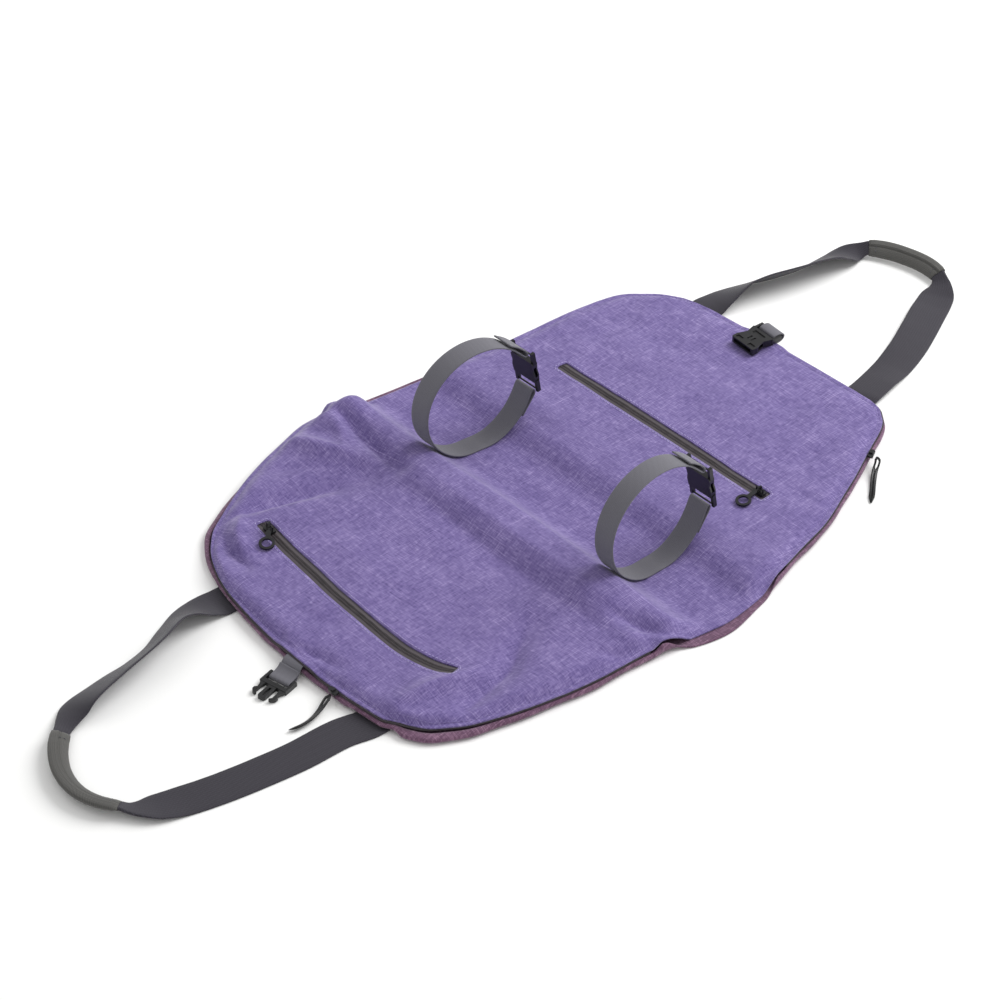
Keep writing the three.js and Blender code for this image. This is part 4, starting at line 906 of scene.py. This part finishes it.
def travel(stations, columns, steps):
    # places along a table of stations: x, y, z first, then the named columns
    line = [Vector(s[:3]) for s in stations]
    spans = len(stations) - 1
    curves = [through([(i, s[3 + k]) for i, s in enumerate(stations)], 1) for k in range(len(columns))]
    places = []
    for i in range(spans * steps + 1):
        t = i / (spans * steps)
        place = {"centre": splinePoint(line, t), "along": splineAlong(line, t)}
        for column, curve in zip(columns, curves):
            place[column] = curve(i / steps)
        places.append(place)
    return places


def framed(places):
    # width level across the path, turned by tilt
    for place in places:
        sideDir = upward.cross(place["along"]).normalized()
        rise = place["along"].cross(sideDir).normalized()
        angle = radians(place["tilt"])
        place["wideDir"] = sideDir * cos(angle) + rise * sin(angle)
        place["thickDir"] = place["along"].cross(place["wideDir"]).normalized()
    return places


# Handles and grips

handleRows = {  # x, y, tilt of the outer edge, then width and thickness where it is folded
    "left": [
        (113, -343, 0), (112, -356, 0), (105, -382, 0), (101, -430, 0), (94, -472, 0), (86, -510, 0),
        (77, -542, 0), (67, -570, 6, 38, webbing), (57, -588, 15, 28, 2.8), (46, -599, 22, 20, 3.8),
        (27, -611, 25, 20, 3.8), (3, -616, 25, 20, 3.8), (-24, -611, 25, 20, 3.8), (-49, -597, 25, 20, 3.8),
        (-68, -579, 18, 20, 3.8), (-80, -562, -4, 27, 2.8), (-87, -545, -22, 37, webbing), (-90, -523, -33),
        (-93, -497, -38), (-95, -470, -44), (-101, -440, -46), (-112, -412, -43), (-119, -385, -26),
        (-119, -362, -8), (-117, -346, 0), (-116, -335, 0),
    ],
    "right": [
        (-133, 334.5, 0), (-133, 345, 0), (-131, 366, -14), (-125, 398, -38), (-113, 430, -46),
        (-103, 464, -44), (-98, 500, -34), (-95, 526, -10, 36, webbing), (-91, 540, 16, 27, 2.8),
        (-83, 551, 33, 20, 3.8), (-63, 563, 35, 20, 3.8), (-40, 570, 35, 20, 3.8), (-18, 573, 33, 20, 3.8),
        (2, 570, 28, 20, 3.8), (13, 562, 14, 27, 2.8), (23, 545, 2, 38, webbing), (37, 514, -4),
        (50, 486, -5), (63, 455, -4), (74, 420, 0), (81, 388, 6), (85, 364, 5), (86, 350, 0),
        (86, 343.5, 0),
    ],
}
grip = {"wide": 24, "thick": 8, "hollowWide": 17.6, "hollowThick": 4.9, "left": (9, 14), "right": (9, 13)}
sleeveShape = {
    "wide": 20.6, "thick": 9.0, "pinch": 3.6, "seamAt": 1.5, "seamDeep": 1.6, "stitchSunk": 1.6,
    "webbing": 0.82, "endReach": 4, "hemAt": 3.4, "hemDeep": 0.35, "hemSpread": 0.8, "wrinkle": 0.5,
    "lap": 0.45, "lapAt": 1.7, "lapSpread": 1.3, "lineSpread": 0.8,  # one edge lapped over the other
}
handleShape = {
    "full": (40, webbing),
    "foldedFrom": (36, 16),  # webbing narrower than this is folded into the sleeve, by this much at most
    "ripple": 0.25,
    "sag": 0.6,
    "offFloor": 0.05,
    "steps": 2,
    "fineSteps": 8,
}


def supportOf(place, held):
    wide = grip["wide"] if held else place["wide"]
    thick = grip["thick"] if held else place["thick"]
    return (abs(place["wideDir"].z) * wide + abs(place["thickDir"].z) * thick) / 2 + handleShape["offFloor"]


def restHeights(stations, held):
    # each place rests on its lower edge and eases up to the thicker grip beside it
    places = framed(travel(stations, ["tilt", "wide", "thick"], handleShape["steps"]))
    support = [supportOf(p, held[0] <= i <= held[1]) for i, p in enumerate(places)]
    height = list(support)
    for _ in range(6):
        for i in range(1, len(places) - 1):
            height[i] = max(support[i], (height[i - 1] + height[i + 1]) / 2 - handleShape["sag"])
    return height


def gripRing(place, wide, thick, seam=0.0, count=48, fullness=2.3):
    ring, across = [], []
    for k in range(count):
        a = 2 * pi * k / count
        c, s = cos(a), sin(a)
        u = wide / 2 * copysign(abs(c) ** (2 / fullness), c)
        v = thick / 2 * copysign(abs(s) ** (2 / fullness), s)
        if s > 0:  # the sleeve's lengthwise seam
            past = u - sleeveShape["seamAt"]
            lap = sleeveShape["lap"] * hump(past - sleeveShape["lapAt"], sleeveShape["lapSpread"])
            v += seam * (lap - hump(past, sleeveShape["lineSpread"]))
        ring.append(place["centre"] + place["wideDir"] * u + place["thickDir"] * v)
        across.append(u if s >= 0 else wide - u)
    return ring, across


def makeHandle(side):
    full, steps, fineSteps = [handleShape[k] for k in ("full", "steps", "fineSteps")]
    stations = [(x, y, 0, tilt, *(folded or full)) for x, y, tilt, *folded in handleRows[side]]
    held = [row * steps for row in grip[side]]
    heights = through(list(enumerate(restHeights(stations, held))), 1)
    places = framed(travel(stations, ["tilt", "wide", "thick"], fineSteps))
    perStep = fineSteps / steps
    foldedFrom, foldedBy = handleShape["foldedFrom"]
    for i, place in enumerate(places):
        inGrip = held[0] <= i / perStep <= held[1]
        place["centre"].z = max(heights(i / perStep), supportOf(place, False))
        if not inGrip:
            place["centre"].z += handleShape["ripple"] * abs(noise.noise(Vector((i / 5, 0.5, 1.7))))
        folded = ease((foldedFrom - place["wide"]) / foldedBy)
        place["wide"] *= mix(1, sleeveShape["webbing"], folded)
    strip = addStrip("webbing_" + side, places, handleTwill)
    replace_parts(strip, "handle_" + side)
    first, last = int(held[0] * perStep), int(held[1] * perStep)
    sleeve = places[first : last + 1]
    outer, inner, threads, run = [], [], [], 0.0
    for i, place in enumerate(sleeve):
        t = i / (len(sleeve) - 1)
        fromEnd = min(t, 1 - t) * (len(sleeve) - 1)
        run += (place["centre"] - sleeve[i - 1]["centre"]).length if i else 0
        plump = ease((fromEnd + 0.6) / sleeveShape["endReach"])
        plump -= sleeveShape["hemDeep"] * hump(fromEnd - sleeveShape["hemAt"], sleeveShape["hemSpread"])
        wrinkle = sleeveShape["wrinkle"] * noise.noise(Vector((t * 16, 2.0, 4.0)))
        wide = sleeveShape["wide"] - sleeveShape["pinch"] * 0.5 * (1 - plump)
        thick = sleeveShape["thick"] - sleeveShape["pinch"] * (1 - plump) + wrinkle
        ring, across = gripRing(place, wide, thick, sleeveShape["seamDeep"])
        outer.append(ring)
        inner.append(gripRing(place, grip["hollowWide"], grip["hollowThick"])[0])
        threads += [(a, run) for a in across]
    rings = outer + inner[::-1]
    points, faces = skinned(rings, closedEnds=False)
    wide = len(rings[0])
    end = (len(rings) - 1) * wide
    faces += [(end + c, end + (c + 1) % wide, (c + 1) % wide, c) for c in range(wide)]
    threads += threads[::-1]
    padded = addPiece("grip_sleeve_" + side, points, faces, gripCloth, threads=threads)
    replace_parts(padded, "grip_" + side)
    return sleeve


sleeves = [makeHandle(side) for side in sides]
print("handles made")


# Standing straps and closure tabs: strips that stay level along X while they bend

loopRadius = 62.6
loopCentre = loopRadius + baseLevel + cloth / 2
strap = {"wide": 25, "thick": 1.6, "first": (-129, 9), "second": (132, 2), "clear": 0.2, "above": 0.4}
strapRadius = loopRadius + strap["thick"] / 2 + strap["clear"]
strapLowest = baseLevel + cloth / 2 + strap["above"] + strap["thick"] / 2
stripSteps = 6
strapTurns = [  # degrees from +Y, radius beyond the strap's own
    (-38, 2.9), (-24, 3.6), (-14.5, 5.9), (-11.6, 4.9), (-10.8, 3.4), (-11.6, 1.9), (-14.5, 0.9), (-24, 0.2),
    (-38, 0), (-54, 0), (-68, 0), (-79, 0), (-90, 0), (-101, 0), (-112, 0), (-126, 0), (-145, 0), (-165, 0),
    (-185, 0), (-205, 0), (-225, 0), (-245, 0), (-265, 0), (-285, 0), (-303, 0), (-316, 0), (-325.5, 0.9),
    (-328.4, 1.9), (-329.2, 3.4), (-328.4, 4.9), (-325.5, 5.9), (-314, 4.6), (-303, 3.6),
]


def levelStrip(name, stations, wide):
    places = travel(stations, ["turn"], stripSteps)
    for place in places:
        turn = radians(place["turn"])
        place["wideDir"] = Vector((cos(turn), sin(turn), 0))
        flat = (place["along"] - place["wideDir"] * place["along"].dot(place["wideDir"])).normalized()
        place["thickDir"] = flat.cross(place["wideDir"])
        place["wide"], place["thick"] = wide, strap["thick"]
    return addStrip(name, places, strapTwill), places


def makeStrap(which, number):
    at, lean = strap[which]
    stations = []
    for angle, beyond in strapTurns:
        turn = radians(angle)
        radius = strapRadius + beyond
        y = radius * cos(turn)
        z = max(strapLowest, loopCentre + radius * sin(turn))
        stations.append((at + lean * y / loopRadius, y, z, 0))
    name = "roll_strap_" + number
    piece, places = levelStrip(name, stations, strap["wide"])
    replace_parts(piece, "mat_strap_" + number)
    return places


strapPlaces = [makeStrap("first", "1"), makeStrap("second", "2")]

closure = {-1: {"y": -350, "turn": 11, "over": 18}, 1: {"y": 350, "turn": -5, "over": 0}, "wide": 24}
tabRows = {  # y, z
    -1: [
        (-345, 10.9), (-352, 10.9), (-355.6, 10.8), (-359.6, 8.8), (-364.4, 4.6), (-368.6, 1.8), (-373, 1),
        (-378, 0.95), (-379.5, 1.6), (-380, 2.85), (-379.5, 4.1), (-378, 4.8), (-372, 5.1), (-366.5, 6.6),
        (-362.6, 9),
    ],
    1: [
        (341, 10.9), (349, 10.9), (355, 11.3), (359.4, 13.6), (360.4, 17), (357.6, 20), (353.6, 21.2),
        (349.4, 21.2), (346.8, 20.3), (346, 18.8), (346.8, 17.3), (349.4, 16.4), (354.4, 16.2),
    ],
}


def makeTab(side, name):
    swing = closure[side]
    stations = []
    for y, z in tabRows[side]:
        away = abs(y - swing["y"])
        now = swing["turn"] * ease(away / swing["over"]) if swing["over"] else swing["turn"]
        angle = radians(now)
        x = tabs[side] - sin(angle) * (y - swing["y"])
        stations.append((x, swing["y"] + cos(angle) * (y - swing["y"]), z, now))
    piece, places = levelStrip("tab_" + name, stations, closure["wide"])
    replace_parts(piece, "closure_tab_" + name)
    return places


tabPlaces = [makeTab(-1, "left"), makeTab(1, "right")]
print("straps and tabs made")


# Long soft pulls of the pouch zips

longPull = {"wide": 6.4, "thick": 2.4, "slotWide": 1.9, "slot": (0.5, 1.9), "opening": 0.35, "steps": 8}
longPullRows = {  # x, y, z, tilt
    "left": [
        (64.2, -359.6, 9.4, 0), (65.8, -366.5, 7.6, 10), (69.5, -378, 4.4, 32), (72.6, -392, 3.2, 42),
        (72.4, -405, 3, 42), (69.6, -416, 3, 40),
    ],
    "right": [
        (172.5, 286.8, 9.4, 0), (177.4, 282, 8.6, -6), (183, 272, 5.2, -14), (192, 260, 2.4, -6),
        (202, 248, 1.6, 0), (212, 235, 1.5, 0),
    ],
}


def makeLongPull(side):
    places = framed(travel(longPullRows[side], ["tilt"], longPull["steps"]))
    slotFrom, slotTo = longPull["slot"]
    points, faces = [], []
    last = len(places) - 1
    for offset in (-1, 1):
        rings = []
        for i, place in enumerate(places):
            t = i / longPull["steps"]
            parted = ease((t - slotFrom) / longPull["opening"]) * ease((slotTo - t) / longPull["opening"])
            roundEnd = min(1, sqrt(max(0.12, min(i, last - i) / 5)))
            inner = longPull["slotWide"] / 2 * parted
            outer = longPull["wide"] / 2 * roundEnd
            wideDir, thick = place["wideDir"], longPull["thick"] * roundEnd
            centre = place["centre"] + wideDir * (offset * (inner + outer) / 2)
            rings.append(stripRing(centre, wideDir, place["thickDir"], outer - inner, thick, 1)[0])
        join(points, faces, *skinned(rings))
    piece = addPiece("long_pull_" + side, points, faces, softRubber)
    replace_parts(piece, "edge_pull_" + side)


for side in sides:
    makeLongPull(side)


# Hard pieces keep their solids, with eased edges

hardNames = [kind + side for kind in ("pocket_slider_", "pocket_pull_", "edge_slider_") for side in sides]
hardNames += ["strap_buckle_1", "strap_buckle_2", "buckle_male"]
clip = {
    "reach": -38.7,
    "top": 22.7,
    "recess": 1.1,
    "recesses": [  # in its top: middle across, from and to along it, half the width
        (-9.4, 2.2, 6.8, 4.2), (9.4, 2.2, 6.8, 4.2), (-2.6, 9.5, 16.5, 1), (2.6, 9.5, 16.5, 1),
        (0, 20.5, 26, 8),
    ],
}
edgeEase = {"wide": 0.35, "from": 35}


def recessLoop(middle, start, end, half):
    swing = closure[1]
    turn = radians(swing["turn"])
    low, high = middle - half, middle + half
    loop = []
    for u, v in ((low, start), (high, start), (high, end), (low, end)):
        out = clip["reach"] + v
        x = tabs[1] + cos(turn) * u - sin(turn) * out
        loop.append(Vector((x, swing["y"] + sin(turn) * u + cos(turn) * out, 0)))
    return loop


solidHalf = nodes["buckle_female"]
mouthData = solidHalf.data.copy()
mouthData.transform(solidHalf.matrix_world)
mouthHalf = addObject("clip_mouth", mouthData)
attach(mouthHalf, "bag")
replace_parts(mouthHalf, "buckle_female")

for hard in [nodes[name] for name in hardNames] + [mouthHalf]:
    hard.data.materials.clear()
    hard.data.materials.append(blackPlastic)
    weld = hard.modifiers.new("weld", "WELD")
    weld.merge_threshold = 0.01 * mm
    if hard is mouthHalf:
        low, high = clip["top"] - clip["recess"], clip["top"] + clip["recess"]
        cutAway(hard, [cutter(recessLoop(*recess), low, high) for recess in clip["recesses"]])
    eased = hard.modifiers.new("eased", "BEVEL")
    eased.width, eased.segments, eased.limit_method = edgeEase["wide"] * mm, 2, "ANGLE"
    eased.angle_limit = radians(edgeEase["from"])
print("plastics eased")


# Stitching

stitch = {"long": 3.0, "apart": 1.4, "radius": 0.36, "sides": 6, "inset": 5.2, "wingFrom": 72, "grow": 2.6}
stitchShape = [(0, -0.25, 0.35), (0.15, 0.2, 0.9), (0.5, 0.34, 1), (0.85, 0.2, 0.9), (1, -0.25, 0.35)]


def addStitches(name, runs, thread):
    # each run is a list of (point, up): stitches lie along it, sunk a little at their ends
    points, faces = [], []
    pitch = stitch["long"] + stitch["apart"]
    turns = [2 * pi * j / stitch["sides"] for j in range(stitch["sides"])]
    for run in runs:
        line = [p for p, up in run]
        lengths = runLengths(line)
        for k in range(int(lengths[-1] / pitch)):
            rings = []
            for share, rise, size in stitchShape:
                i, t = placeOn(lengths, k * pitch + stitch["apart"] / 2 + share * stitch["long"])
                along = (line[i + 1] - line[i]).normalized()
                up = run[i][1]
                across = along.cross(up).normalized()
                centre = line[i].lerp(line[i + 1], t) + up * rise
                r = stitch["radius"] * size
                rings.append([centre + (across * cos(q) + up * sin(q)) * r for q in turns])
            join(points, faces, *skinned(rings))
    return addPiece(name, points, faces, thread)


def onLining(loop):
    return [(Vector((p.x, p.y, liningHeight(p.x, p.y) + cloth / 2)), upward) for p in loop + loop[:1]]


def wingStitch(side):
    # a line of stitches inside one wing's edge, leaning out with the cloth
    run = []
    for at, away in wingRun(side, stitch["wingFrom"]):
        p = at - away * stitch["inset"]
        p.z = liningHeight(p.x, p.y)
        lean = (away * 0.5 + upward).normalized()
        run.append((p + lean * cloth / 2, lean))
    return run


windowRuns = [onLining(windowLoop(side, stitch["grow"])) for side in sides]
addStitches("window_stitches", windowRuns, lilacThread)
addStitches("edge_stitches", [wingStitch(-1), wingStitch(1)], purpleThread)


def acrossRuns(lines, at, wide, thick, side=1):
    # rows of stitches across each strip, at these places along it
    runs = []
    for place in [places[i] for places in lines for i in at]:
        rise = place["thickDir"] * side
        base = place["centre"] + rise * (thick / 2)
        runs.append([(base + place["wideDir"] * wide * (k / 10 - 0.5), rise) for k in range(11)])
    return runs


gripRuns = acrossRuns(sleeves, (3, -4), 13, sleeveShape["thick"] - sleeveShape["stitchSunk"])
addStitches("grip_stitches", gripRuns, greyThread)
strapRuns = acrossRuns(tabPlaces, (4, -5, -8), 19, strap["thick"])
strapRuns += acrossRuns(strapPlaces, (5, -8, -5), 20, strap["thick"], -1)
addStitches("strap_stitches", strapRuns, greyThread)
print("stitches made")


# Floor, lights and camera


def setStudio():
    half = studio["floorHalf"]
    data = bpy.data.meshes.new("floor")
    corners = [(-half, -half, 0), (half, -half, 0), (half, half, 0), (-half, half, 0)]
    data.from_pydata(corners, [], [(0, 1, 2, 3)])
    floor = addObject("floor", data)
    paint, shader = startMaterial("white seamless paper", 0.9)
    shader.inputs["Base Color"].default_value = linear(studio["floor"])
    data.materials.append(paint)
    floor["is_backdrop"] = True
    world = bpy.data.worlds.new("studio")
    world.use_nodes = True
    sky = world.node_tree.nodes["Background"]
    sky.inputs["Color"].default_value = linear(studio["sky"])
    sky.inputs["Strength"].default_value = studio["skyStrength"]
    scene.world = world
    for name in ("key", "fill"):
        place = studio[name]
        lampData = bpy.data.lights.new(name, "AREA")
        lampData.shape, lampData.size, lampData.energy = "DISK", place["size"], place["watts"]
        lamp = addObject(name, lampData)
        lamp.location = place["from"]
        lamp.rotation_euler = (-Vector(place["from"])).to_track_quat("-Z", "Y").to_euler()


def setCamera():
    turn, rise = radians(shot["azimuth"]), radians(shot["elevation"])
    right = Vector((cos(turn), sin(turn), 0))
    back = Vector((sin(turn) * cos(rise), -cos(turn) * cos(rise), sin(rise)))
    up = back.cross(right)
    data = bpy.data.cameras.new("camera")
    data.lens, data.sensor_width = shot["lens"], shot["sensor"]
    eye = addObject("camera", data)
    eye.location = Vector(shot["aim"]) + right * shot["aimRight"] + up * shot["aimUp"]
    eye.location += back * shot["distance"]
    eye.rotation_euler = Matrix((right, up, back)).transposed().to_euler()
    scene.camera = eye


setStudio()
setCamera()
print("scene made")

low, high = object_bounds()
{"cad": [list(cadLow), list(cadHigh)], "visual": [list(low), list(high)]}
